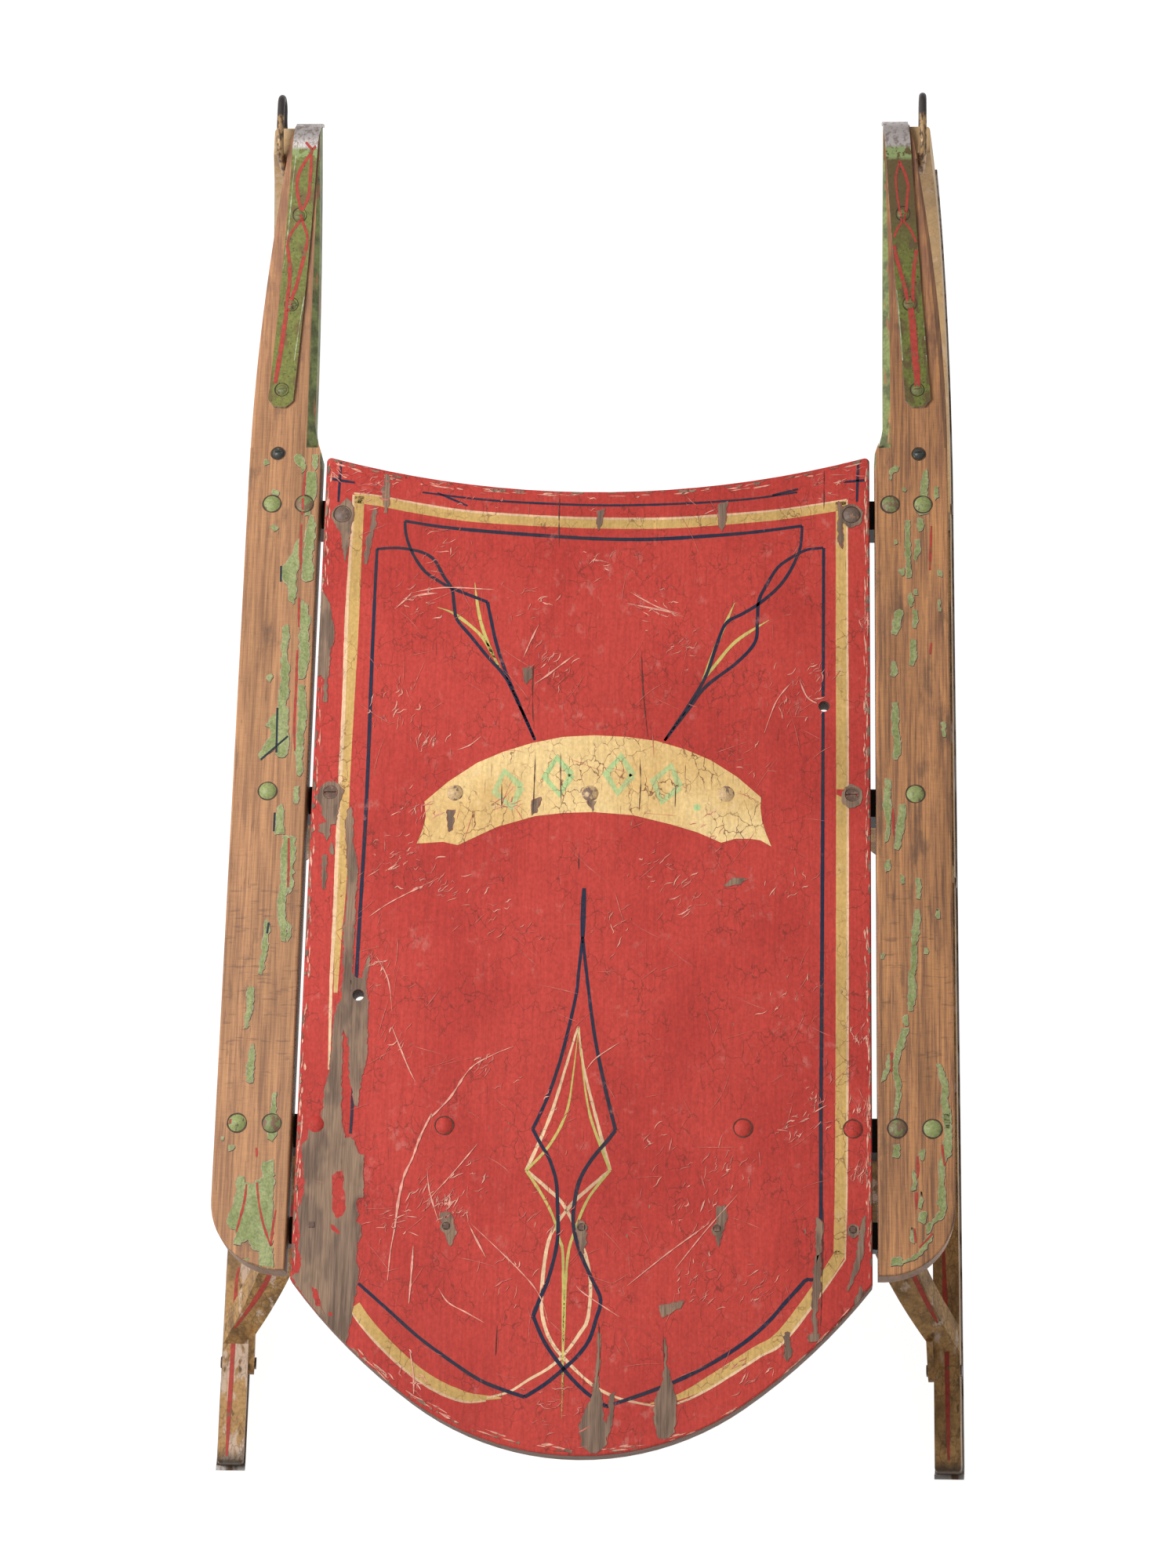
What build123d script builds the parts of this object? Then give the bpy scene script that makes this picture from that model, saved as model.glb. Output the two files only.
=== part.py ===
# Child's painted runner sled: a deck board between two upswept side rails, carried on cross benches,
# splayed knees and a pair of wooden runners with steel shoes.
# Frame: +X right, +Y forward, +Z up, floor at z = 0, origin under the middle of the sled. Units mm.
import math
import os

from build123d import *

os.makedirs("parts", exist_ok=True)

# Driving dimensions
deck_side = 544.8          # straight side of the deck, front corner to the start of the tail
tail_reach = 105.6         # rounded tail beyond the sides
nose_reach = 219.5         # deck's front corners to the front face of the nose
eye_reach = 21.6           # rope eyes in front of the nose
deck_top = 165.0           # floor to the seat
deck_width = 353.0
deck_thick = 16.0
deck_dip = 25.0            # hollow of the deck's front edge
rail_width = 47.0
rail_thick = 18.0
rail_proud = 2.0           # rail top above the deck top
rail_gap = 3.4             # open slot between deck and rail
horn_rise = 45.0           # climb of the rail's top from the shoulder to the tip
bench_depth = 22.0
runner_width = 16.5
runner_depth = 19.0
runner_splay = 2.3         # middle of the runner at the floor, outside the rail's outer side
runner_lean = 0.105        # inward lean of the runner per mm of height
shoe_thick = 3.0
shoe_lip = 1.0             # shoe wider than the runner, each side
strap_width = 16.5
strap_thick = 2.0
rod_radius = 2.4           # rope eye rod
rope_hole_radius = 3.6

shoulder_lead = 0.8        # deck's front corners to where the horns begin
tip_setback = 2.2          # horn tip behind the nose's face
rail_past = 4.7            # rail's end ahead of the start of the tail
heel_short = 17.4          # runner's heel ahead of the deck's tail
front_inset = 34.8         # deck's front corners to the middle of the front bench
front_to_middle = 197.5    # bench spacings
middle_to_rear = 216.2
rear_to_cleat = 62.9
front_bench_width = 20.0
middle_bench_width = 18.5
rear_bench_width = 21.5
cleat_width = 17.0
cleat_depth = 12.0
bench_inset = 6.0          # bench ends inside the rails' outer sides
cleat_inset = 14.0
knee_top_width = 25.0
front_rake_gap = 22.1      # front knee's foot behind the start of the bow
middle_rake = -6.0
rear_rake = -100.0
deck_edge_pitch = 11.8     # outer deck fasteners in from the deck's sides
deck_inner_pitch = 85.6    # inner deck fasteners either side of the middle
rope_hole_right = (147.2, 173.0)   # from the middle; from the deck's front corners
rope_hole_left = (-141.7, 365.6)
strap_lead = 32.0          # shoulder to the strap's lower end
strap_foot_in = 23.0       # strap's middle line in from the horn's inner edge, at its lower end
strap_first = 12.0         # screws along the strap
strap_pitch = 58.0
brow_r = 14.0              # rounding of the horn's tip
hole_slack = 0.1

# Stations along the sled, with the origin midway between the tail and the rope eyes
total = tail_reach + deck_side + nose_reach + eye_reach
deck_tail = -total / 2
deck_side_end = deck_tail + tail_reach
deck_front = deck_side_end + deck_side
nose_face = deck_front + nose_reach
eye_front = nose_face + eye_reach
shoulder = deck_front + shoulder_lead
horn_tip = nose_face - tip_setback
rail_rear = deck_side_end + rail_past
heel = deck_tail + heel_short
front_row = deck_front - front_inset
middle_row = front_row - front_to_middle
rear_row = middle_row - middle_to_rear
cleat_row = rear_row - rear_to_cleat
strap_foot = shoulder + strap_lead

# Sizes that follow from them
deck_half = deck_width / 2
deck_under = deck_top - deck_thick
rail_in = deck_half + rail_gap
rail_out = rail_in + rail_width
runner_x = rail_out + runner_splay
rail_top = deck_top + rail_proud
rail_under = rail_top - rail_thick
horn_in = rail_in + 5.6
horn_out = horn_in + strap_width + 0.8
bench_top = min(deck_under, rail_under)
seat_top = max(deck_under, rail_under)
bench_under = bench_top - bench_depth
bench_half = rail_out - bench_inset
runner_top = shoe_thick + runner_depth
run = horn_tip - shoulder
horn_radius = (run ** 2 + horn_rise ** 2) / (2 * horn_rise)
horn_angle = math.degrees(math.asin(run / horn_radius))
nose_top = rail_top + horn_rise - 9.0
bow_radius = nose_top - 18.0 - shoe_thick
bow_start = nose_face - bow_radius


def horn_z(y):
    """Height of the rail's top at a place on the horn."""
    return rail_top + horn_radius - math.sqrt(horn_radius ** 2 - (y - shoulder) ** 2)


def horn_tilt(y):
    return math.degrees(math.asin((y - shoulder) / horn_radius))


def horn_outer(y):
    """Outer edge of the horn in plan: an arc leaving the rail's side, ending at the tip."""
    drop = rail_out - horn_out
    arc = (run ** 2 + drop ** 2) / (2 * drop)
    return rail_out - arc + math.sqrt(arc ** 2 - (y - shoulder) ** 2)


def cap_mid(r, h):
    """Middle point of the arc of a domed head of radius r and height h."""
    ball = (r ** 2 + h ** 2) / (2 * h)
    a = math.asin(r / ball) / 2
    return ball * math.sin(a), h - ball + ball * math.cos(a)


def brow(out=0.0):
    """The rounded corner at the horn's tip, in side view: its two ends with a middle point between."""
    r = brow_r + out
    a = math.radians(horn_angle)
    d = math.asin(brow_r / (horn_radius + brow_r))
    far = horn_radius + brow_r
    middle = Vector(shoulder + far * math.sin(a - d), rail_top + horn_radius - far * math.cos(a - d))
    up = Vector(-math.sin(a - d), math.cos(a - d))
    on = Vector(math.cos(a), math.sin(a))
    return middle + up * r, middle + (up + on).normalized() * r, middle + on * r


def runner_mid(z):
    return runner_x - runner_lean * z


def both(points):
    return [(side * x, y) for x, y in points for side in (-1, 1)]


# Fastener places in plan, for the right side or for both
deck_edge_x = deck_half - deck_edge_pitch
front_pegs = both([(deck_edge_x, front_row - 6.5)])
middle_pegs = [(-deck_inner_pitch, middle_row), (0.0, middle_row), (deck_inner_pitch, middle_row)]
rear_pegs = both([(deck_edge_x, rear_row)])
rear_pegs += [(-deck_inner_pitch, rear_row), (deck_inner_pitch + 12.0, rear_row)]
deck_pegs = front_pegs + middle_pegs + rear_pegs
deck_screw_row = both([(deck_edge_x, middle_row)])
nail_pitch = deck_edge_x / 2
nail_row = [(k * nail_pitch, cleat_row) for k in (-2, -1, 0, 1, 2)]
rail_bolt_row = [(rail_out - 16.2, front_row), (rail_out - 22.5, middle_row), (rail_out - 13.7, rear_row)]
rail_peg_row = [(rail_in + 9.8, front_row), (rail_in + 11.9, rear_row)]
rail_screw_row = [(rail_in + 28.4, shoulder)]
strap_axis = [(horn_in + strap_foot_in, strap_foot), (horn_in + strap_width / 2, horn_tip)]
strap_screws = [strap_foot + strap_first + k * strap_pitch for k in (0, 1, 2)]


def strap_x(y):
    (x0, y0), (x1, y1) = strap_axis
    return x0 + (x1 - x0) * (y - y0) / (y1 - y0)


# Fastener shapes, each seated at z = 0 with its head above
bolt_length = rail_thick + bench_depth + 8.0
peg_length = rail_thick + bench_depth - 6.0
head_r = 5.5
head_h = 2.0
shank_r = 2.4
nut_size = 9.5
nut_high = 4.5

with BuildPart() as bolt:
    with BuildSketch(Plane.XZ):
        with BuildLine():
            Line((0, head_h), (0, -bolt_length))
            Line((0, -bolt_length), (shank_r, -bolt_length))
            Line((shank_r, -bolt_length), (shank_r, 0))
            Line((shank_r, 0), (head_r, 0))
            ThreePointArc((head_r, 0), cap_mid(head_r, head_h), (0, head_h))
        make_face()
    revolve(axis=Axis.Z)

with BuildPart() as peg:
    with BuildSketch(Plane.XZ):
        with BuildLine():
            Line((0, head_h), (0, -peg_length))
            Line((0, -peg_length), (shank_r, -peg_length))
            Line((shank_r, -peg_length), (shank_r, 0))
            Line((shank_r, 0), (head_r, 0))
            ThreePointArc((head_r, 0), cap_mid(head_r, head_h), (0, head_h))
        make_face()
    revolve(axis=Axis.Z)

with BuildPart() as nut:
    Box(nut_size, nut_size, nut_high, align=(Align.CENTER, Align.CENTER, Align.MAX))
    chamfer(nut.edges().group_by(Axis.Z)[0], 0.8)
    Hole(shank_r)

flat_r = 4.15
flat_h = 2.7
with BuildPart() as flat_screw:
    with BuildSketch(Plane.XZ):
        Polygon((0, 0), (flat_r, 0), (1.9, -flat_h), (1.9, -25), (0, -28), align=None)
    revolve(axis=Axis.Z)
    Box(2 * flat_r, 1.2, 1.1, align=(Align.CENTER, Align.CENTER, Align.MAX), mode=Mode.SUBTRACT)

with BuildPart() as shoe_screw:
    with BuildSketch(Plane.XZ):
        Polygon((0, 0), (3.6, 0), (1.7, -2.3), (1.7, -15), (0, -17), align=None)
    revolve(axis=Axis.Z)
    Box(8, 1.1, 0.9, align=(Align.CENTER, Align.CENTER, Align.MAX), mode=Mode.SUBTRACT)

with BuildPart() as round_screw:
    with BuildSketch(Plane.XZ):
        with BuildLine():
            Line((0, 2.4), (0, -13))
            Line((0, -13), (2.0, -11))
            Line((2.0, -11), (2.0, 0))
            Line((2.0, 0), (4.0, 0))
            ThreePointArc((4.0, 0), cap_mid(4.0, 2.4), (0, 2.4))
        make_face()
    revolve(axis=Axis.Z)
    with Locations((0, 0, 2.5)):
        Box(9, 1.1, 1.2, align=(Align.CENTER, Align.CENTER, Align.MAX), mode=Mode.SUBTRACT)

with BuildPart() as strap_screw:
    with BuildSketch(Plane.XZ):
        with BuildLine():
            Line((0, 1.3), (0, -12))
            Line((0, -12), (1.6, -10))
            Line((1.6, -10), (1.6, 0))
            Line((1.6, 0), (3.5, 0))
            ThreePointArc((3.5, 0), cap_mid(3.5, 1.3), (0, 1.3))
        make_face()
    revolve(axis=Axis.Z)
    with Locations((0, 0, 1.4)):
        Box(8, 0.9, 0.8, align=(Align.CENTER, Align.CENTER, Align.MAX), mode=Mode.SUBTRACT)

with BuildPart() as nail:
    with Locations((0, 0, -24)):
        Box(2.0, 2.0, 24, align=(Align.CENTER, Align.CENTER, Align.MIN))
    Box(3.4, 3.4, 0.9, align=(Align.CENTER, Align.CENTER, Align.MIN))

# Runner: quarter-round bow at the front, leaning inwards; the face plane holds its inner side
lean_cos = 1 / math.sqrt(1 + runner_lean ** 2)
lean_k = 1 / lean_cos
inner_face = Plane(origin=(runner_x - runner_width / 2, 0, 0), x_dir=(0, 1, 0), z_dir=(1, 0, runner_lean))
shoe_face = Plane(origin=(runner_x - runner_width / 2 - shoe_lip, 0, 0), x_dir=(0, 1, 0),
                  z_dir=(1, 0, runner_lean))
front_rake = bow_start - front_row - front_rake_gap
feet = [("front", front_row, front_rake, 12.0), ("middle", middle_row, middle_rake, -3.0),
        ("rear", rear_row, rear_rake, -19.0)]
knee_thick = {"front": 13.4, "middle": 12.0, "rear": 16.6}
tongue_r = 7.2
tongue_thick = 4.0
rivet_s = shoe_thick + 10.2
rivet_r = 2.0


def on_runner(y, s, out=0.0):
    """A place on the runner's inner side, s up it and out along its normal."""
    return inner_face.location * Location((y, s, out))


shoe_spots = [heel + 26, (rear_row + middle_row) / 2 - 20, (middle_row + front_row) / 2, bow_start - 34]

with BuildPart() as runner_right:
    with BuildSketch(inner_face):
        with BuildLine():
            low = shoe_thick * lean_k
            Line((heel + 8, low), (bow_start, low))
            bow = JernArc(start=(bow_start, low), tangent=(1, 0), radius=bow_radius, arc_size=90)
            Line(bow @ 1, (nose_face, nose_top * lean_k))
            back = JernArc(start=(bow_start, runner_top * lean_k), tangent=(1, 0),
                           radius=(bow @ 1).Y - runner_top * lean_k, arc_size=90)
            Line((nose_face, nose_top * lean_k), ((back @ 1).X, nose_top * lean_k))
            Line(((back @ 1).X, nose_top * lean_k), back @ 1)
            Line((bow_start, runner_top * lean_k), (heel, runner_top * lean_k))
            Line((heel, runner_top * lean_k), (heel, low + 8))
            JernArc(start=(heel + 8, low), tangent=(-1, 0), radius=8, arc_size=-90)
        make_face()
    extrude(amount=runner_width, dir=(1, 0, 0))
    heel_edges = runner_right.edges().filter_by(Axis.Y, reverse=True).group_by(Axis.Y)[0]
    fillet(heel_edges.filter_by(lambda e: e.length > 8 and abs(e.center().Y - heel) < 0.1), 2.5)
    for _, row, rake, reach in feet:
        with Locations(on_runner(row + rake + reach, rivet_s, -1)):
            Cylinder(rivet_r + hole_slack, runner_width + 4, align=(Align.CENTER, Align.CENTER, Align.MIN),
                     mode=Mode.SUBTRACT)
    for y in shoe_spots:
        with Locations(Location((runner_mid(8), y, -1))):
            Cylinder(1.7 + hole_slack, 20, align=(Align.CENTER, Align.CENTER, Align.MIN), mode=Mode.SUBTRACT)

with BuildPart() as shoe_right:
    with BuildSketch(shoe_face):
        with BuildLine():
            thick = shoe_thick * lean_k
            Line((heel + 8, 0), (bow_start, 0))
            outer = JernArc(start=(bow_start, 0), tangent=(1, 0), radius=bow_radius + thick, arc_size=78)
            inner = JernArc(start=(bow_start, thick), tangent=(1, 0), radius=bow_radius, arc_size=78)
            Line(outer @ 1, inner @ 1)
            Line((bow_start, thick), (heel + 8, thick))
            JernArc(start=(heel + 8, thick), tangent=(-1, 0), radius=8, arc_size=-90)
            Line((heel, thick + 8), (heel - thick, thick + 8))
            JernArc(start=(heel + 8, 0), tangent=(-1, 0), radius=8 + thick, arc_size=-90)
        make_face()
    extrude(amount=runner_width + 2 * shoe_lip, dir=(1, 0, 0))
    for y in shoe_spots:
        with Locations(Location((runner_mid(8), y, 0), (180, 0, 0))):
            CounterSinkHole(radius=1.7 + hole_slack, counter_sink_radius=3.6 + hole_slack, depth=20)

with BuildPart() as shoe_screws_right:
    with Locations(*[Location((runner_mid(8), y, 0), (180, 0, 0)) for y in shoe_spots]):
        add(shoe_screw.part)

# Cutters for the long facets worn into the horn's upper edges, wide at the shoulder, nothing at the tip
facet_ys = [shoulder + 0.02 * run, shoulder + 0.3 * run, shoulder + 0.6 * run, shoulder + 0.9 * run]
facet_in_w = [4.6, 4.4, 3.4, 0.8]
facet_out_w = [2.0, 3.2, 2.8, 0.8]
over = 3.0

with BuildPart() as facet_in:
    for y, w in zip(facet_ys, facet_in_w):
        with BuildSketch(Plane(origin=(horn_in, y, horn_z(y)), x_dir=(1, 0, 0), z_dir=(0, -1, 0))):
            Polygon((-over, -w - over), (w + over, over), (-over, over), align=None)
    loft()

with BuildPart() as facet_out:
    for y, w in zip(facet_ys, facet_out_w):
        with BuildSketch(Plane(origin=(horn_outer(y), y, horn_z(y)), x_dir=(1, 0, 0), z_dir=(0, -1, 0))):
            Polygon((over, -w - over), (over, over), (-w - over, over), align=None)
    loft()

# Side rail: a plank whose front sweeps up into a tapering horn
with BuildPart() as rail_right:
    with BuildSketch(Plane.YZ.offset(rail_in)):
        with BuildLine():
            b0, b1, b2 = brow()
            RadiusArc((shoulder, rail_top), b0, -horn_radius)
            ThreePointArc(b0, b1, b2)
            under = JernArc(start=(shoulder, rail_under), tangent=(1, 0), radius=horn_radius + rail_thick,
                            arc_size=horn_angle)
            Line(b2, under @ 1)
            Line((shoulder, rail_under), (rail_rear, rail_under))
            Line((rail_rear, rail_under), (rail_rear, rail_top))
            Line((rail_rear, rail_top), (shoulder, rail_top))
        make_face()
    extrude(amount=rail_width)
    corner = 0.92 * rail_width
    with BuildSketch(Plane.XY):
        with BuildLine():
            Line((rail_in, rail_rear), (rail_out - corner, rail_rear))
            JernArc(start=(rail_out - corner, rail_rear), tangent=(1, 0), radius=corner, arc_size=90)
            Line((rail_out, rail_rear + corner), (rail_out, shoulder))
            side = TangentArc((rail_out, shoulder), (horn_out, horn_tip), tangent=(0, 1))
            Line(side @ 1, (horn_out, horn_tip + 40))
            Line((horn_out, horn_tip + 40), (horn_in, horn_tip + 40))
            Line((horn_in, horn_tip + 40), (horn_in, shoulder + 25))
            Spline((horn_in, shoulder + 25), (rail_in, shoulder), tangents=((0, -1), (-0.3, -1)))
            Line((rail_in, shoulder), (rail_in, rail_rear))
        make_face()
    extrude(amount=deck_top + 4 * horn_rise, mode=Mode.INTERSECT)
    add(facet_in.part, mode=Mode.SUBTRACT)
    add(facet_out.part, mode=Mode.SUBTRACT)
    fillet(rail_right.edges().filter_by(lambda e: abs(e.center().Z - rail_top) < 0.01
                                        and e.center().Y < shoulder - 1 and e.length > 30), 1.2)
    add(runner_right.part, mode=Mode.SUBTRACT)
    for x, y in rail_bolt_row + rail_peg_row:
        with Locations((x, y, rail_top + 1)):
            Hole(shank_r + hole_slack, depth=rail_thick + 2)
    for x, y in rail_screw_row:
        with Locations((x, y, rail_top + 1)):
            Hole(2.0 + hole_slack, depth=15)
    for y in strap_screws:
        with Locations(Location((strap_x(y), y, horn_z(y)), (horn_tilt(y), 0, 0))):
            Hole(1.6 + hole_slack, depth=13)

with BuildPart() as strap_right:
    with BuildSketch(Plane.YZ.offset(rail_in)):
        with BuildLine():
            y0 = strap_axis[0][1]
            lift = Vector(-math.sin(math.radians(horn_tilt(y0))), math.cos(math.radians(horn_tilt(y0))))
            p0 = Vector(y0, horn_z(y0))
            i0, i1, i2 = brow()
            o0, o1, o2 = brow(strap_thick)
            fall = Vector(math.sin(math.radians(horn_angle)), -math.cos(math.radians(horn_angle))) * 8.0
            RadiusArc(p0, i0, -horn_radius)
            ThreePointArc(i0, i1, i2)
            Line(i2, i2 + fall)
            Line(i2 + fall, o2 + fall)
            Line(o2 + fall, o2)
            ThreePointArc(o0, o1, o2)
            RadiusArc(p0 + lift * strap_thick, o0, strap_thick - horn_radius)
            Line(p0, p0 + lift * strap_thick)
        make_face()
    extrude(amount=rail_width)
    (sx0, sy0), (sx1, sy1) = strap_axis
    turn = -math.degrees(math.atan((sx1 - sx0) / (sy1 - sy0)))
    with BuildSketch(Plane(origin=(sx0, sy0, 0), z_dir=(0, 0, 1)).rotated((0, 0, turn))):
        half = strap_width / 2
        Polygon((-half, 5), (-half * 0.45, 0), (half * 0.45, 0), (half, 5), (half, 400), (-half, 400),
                align=None)
    extrude(amount=deck_top + 4 * horn_rise, mode=Mode.INTERSECT)
    for y in strap_screws:
        with Locations(Location((strap_x(y), y, horn_z(y)), (horn_tilt(y), 0, 0)) * Location((0, 0, 4))):
            Hole(1.6 + hole_slack, depth=8)

with BuildPart() as strap_screws_right:
    with Locations(*[Location((strap_x(y), y, horn_z(y)), (horn_tilt(y), 0, 0)) * Location((0, 0, strap_thick + 0.02))
                     for y in strap_screws]):
        add(strap_screw.part)

# Rope eye: one rod, its two legs gripping the runner's upper end, its bight standing out in front
eye_x = runner_mid(nose_top) + 3.3
eye_slack = 0.05
eye_out = eye_front - rod_radius
eye_r = 7.5
back_leg = nose_face - runner_depth * lean_k - rod_radius - eye_slack
front_leg = nose_face + rod_radius + eye_slack
eye_rise = 4.0
eye_leg_drop = 8.0
eye_z = nose_top + eye_rise
eye_leg_top = eye_z - eye_r - eye_leg_drop
with BuildPart() as eye_right:
    with BuildLine() as eye_path:
        Line((eye_x, back_leg, nose_top - 22), (eye_x, back_leg, nose_top + 2))
        Spline((eye_x, back_leg, nose_top + 2), (eye_x, eye_out - eye_r, eye_z + eye_r),
               tangents=((0, 0, 1), (0, 1, 0)), tangent_scalars=(0.9, 0.9))
        ThreePointArc((eye_x, eye_out - eye_r, eye_z + eye_r), (eye_x, eye_out, eye_z),
                      (eye_x, eye_out - eye_r, eye_z - eye_r))
        Spline((eye_x, eye_out - eye_r, eye_z - eye_r), (eye_x, front_leg, eye_leg_top),
               tangents=((0, -1, 0), (0, 0, -1)), tangent_scalars=(0.9, 0.9))
        Line((eye_x, front_leg, eye_leg_top), (eye_x, front_leg, nose_top - 26))
    with BuildSketch(Plane(origin=(eye_x, back_leg, nose_top - 22), z_dir=(0, 0, 1))):
        Circle(rod_radius)
    sweep()

# Deck board
with BuildPart() as deck:
    with BuildSketch(Plane.XY.offset(deck_under)):
        with BuildLine():
            tail_r = 0.975 * deck_half
            tail_x = 0.567 * deck_half
            tail_y = deck_tail + tail_r - math.sqrt(tail_r ** 2 - tail_x ** 2)
            ThreePointArc((-deck_half, deck_front), (0, deck_front - deck_dip), (deck_half, deck_front))
            Line((deck_half, deck_front), (deck_half, deck_side_end))
            tail = ThreePointArc((-tail_x, tail_y), (0, deck_tail), (tail_x, tail_y))
            TangentArc(tail @ 1, (deck_half, deck_side_end), tangent=tail % 1)
            TangentArc(tail @ 0, (-deck_half, deck_side_end), tangent=(tail % 0) * -1)
            Line((-deck_half, deck_side_end), (-deck_half, deck_front))
        make_face()
    extrude(amount=deck_thick)
    fillet(deck.edges().filter_by(Axis.Z).group_by(Axis.Y)[-1], 3.0)
    fillet(deck.edges().group_by(Axis.Z)[-1] + deck.edges().group_by(Axis.Z)[0], 1.4)
    with Locations(*[(x, deck_front - back, deck_top + 1) for x, back in (rope_hole_right, rope_hole_left)]):
        Hole(rope_hole_radius, depth=deck_thick + 2)
    for x, y in deck_pegs:
        with Locations((x, y, deck_top + 1)):
            Hole(shank_r + hole_slack, depth=deck_thick + 2)
    for x, y in deck_screw_row:
        with Locations((x, y, deck_top)):
            CounterSinkHole(radius=1.9 + hole_slack, counter_sink_radius=flat_r + hole_slack,
                            depth=deck_thick + 1, counter_sink_angle=80)
    for x, y in nail_row:
        with Locations((x, y, deck_top)):
            Box(2.2, 2.2, 2 * deck_thick + 4, mode=Mode.SUBTRACT)

# Cross benches under deck and rails, and the slimmer cleat behind them


def bench_holes(row):
    shanks = [(x, y) for x, y in deck_pegs + both(rail_peg_row) if abs(y - row) < 12]
    return shanks


def bench_slots(row):
    return [(x, y) for x, y in both(rail_bolt_row) if abs(y - row) < 12]


def land_spans(half):
    """Raised lands, as (middle x, length, height), where deck and rail undersides don't lie level."""
    spans = []
    if deck_under > bench_top:
        spans.append((0, deck_width, deck_under - bench_top))
    if rail_under > bench_top:
        spans += [(side * (rail_in + half) / 2, half - rail_in, rail_under - bench_top) for side in (-1, 1)]
    return spans


def bench_part(row, width):
    """One bench with its lower ends clipped, bored for what passes into it."""
    with BuildPart() as made:
        with Locations((0, row, bench_top)):
            Box(2 * bench_half, width, bench_depth, align=(Align.CENTER, Align.CENTER, Align.MAX))
        chamfer(made.edges().filter_by(Axis.Y).group_by(Axis.Z)[0], 7.0)
        for x, length, high in land_spans(bench_half):
            with Locations((x, row, bench_top)):
                Box(length, width, high, align=(Align.CENTER, Align.CENTER, Align.MIN))
        step = seat_top - bench_top
        for x, y in bench_holes(row):
            with Locations((x, y, seat_top + 1)):
                Hole(shank_r + hole_slack, depth=peg_length - rail_thick + 3 + step)
        for x, y in bench_slots(row):
            with Locations((x, y, seat_top + 1)):
                Hole(shank_r + hole_slack, depth=bench_depth + 2 + step)
        if row == middle_row:
            for x, y in deck_screw_row:
                with Locations((x, y, seat_top + 1)):
                    Hole(1.9 + hole_slack, depth=15 + step)
    return made.part


bench_front = bench_part(front_row, front_bench_width)
bench_middle = bench_part(middle_row, middle_bench_width)
bench_rear = bench_part(rear_row, rear_bench_width)

with BuildPart() as cleat:
    with Locations((0, cleat_row, bench_top)):
        Box(2 * (rail_out - cleat_inset), cleat_width, cleat_depth, align=(Align.CENTER, Align.CENTER, Align.MAX))
    chamfer(cleat.edges().filter_by(Axis.Y).group_by(Axis.Z)[0], 4.0)
    for x, length, high in land_spans(rail_out - cleat_inset):
        with Locations((x, cleat_row, bench_top)):
            Box(length, cleat_width, high, align=(Align.CENTER, Align.CENTER, Align.MIN))
    for x, y in nail_row:
        with Locations((x, y, deck_under)):
            Box(2.2, 2.2, 18, mode=Mode.SUBTRACT)

# Knees: bent strips from bench to runner, ending in a tongue on the runner's inner side
flare = runner_mid(runner_top) - (rail_in - 2.0)
knees = {}
for name, row, rake, reach in feet:
    with BuildPart() as knee:
        for u in (0.0, 0.25, 0.5, 0.75, 1.0):
            z = bench_under + (runner_top - bench_under) * u
            x = rail_in - 2.0 + flare * u ** 1.8
            w = knee_top_width + (runner_width - knee_top_width) * u ** 1.6
            with BuildSketch(Plane(origin=(x, row + rake * u, z))):
                Rectangle(w, knee_thick[name])
        loft()
        with BuildSketch(inner_face):
            with BuildLine():
                foot = Vector(row + rake, runner_top + 5)
                toe = Vector(row + rake + reach, rivet_s)
                along = (toe - foot).normalized()
                across = Vector(-along.Y, along.X) * tongue_r
                Line(foot + across, toe + across)
                ThreePointArc(toe + across, toe + along * tongue_r, toe - across)
                Line(toe - across, foot - across)
                Line(foot - across, foot + across)
            make_face()
        extrude(amount=-tongue_thick)
        with Locations(on_runner(row + rake + reach, rivet_s, -tongue_thick - 1)):
            Cylinder(rivet_r + hole_slack, tongue_thick + 1.5, align=(Align.CENTER, Align.CENTER, Align.MIN),
                     mode=Mode.SUBTRACT)
    knees[name] = knee.part

rivet_span = tongue_thick + runner_width * lean_cos
with BuildPart() as knee_rivets_right:
    for _, row, rake, reach in feet:
        with Locations(on_runner(row + rake + reach, rivet_s, -tongue_thick)):
            Cylinder(rivet_r, rivet_span, align=(Align.CENTER, Align.CENTER, Align.MIN))
            Cylinder(3.8, 1.2, align=(Align.CENTER, Align.CENTER, Align.MAX))
        with Locations(on_runner(row + rake + reach, rivet_s, rivet_span - tongue_thick)):
            Cylinder(3.8, 1.2, align=(Align.CENTER, Align.CENTER, Align.MIN))
    fillet(knee_rivets_right.edges().filter_by(lambda e: abs(e.length - 2 * math.pi * 3.8) < 0.5)
           .filter_by(lambda e: e.center().X > runner_x + 3 or e.center().X < runner_x - 3)
           .group_by(Axis.X)[-1], 0.7)


# Fastener groups
def placed(shape, points, z):
    with BuildPart() as group:
        with Locations(*[(x, y, z) for x, y in points]):
            add(shape)
    return group.part


rail_bolts = placed(bolt.part, rail_bolt_row, rail_top)
rail_pegs = placed(peg.part, rail_peg_row, rail_top)
rail_nuts = placed(nut.part, rail_bolt_row, bench_under)
rail_screws = placed(round_screw.part, rail_screw_row, rail_top + 0.03)
deck_pegs_front = placed(peg.part, front_pegs, deck_top)
deck_pegs_middle = placed(peg.part, middle_pegs, deck_top)
deck_pegs_rear = placed(peg.part, rear_pegs, deck_top)
deck_screws = placed(flat_screw.part, deck_screw_row, deck_top)
cleat_nails = placed(nail.part, nail_row, deck_top)

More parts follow.
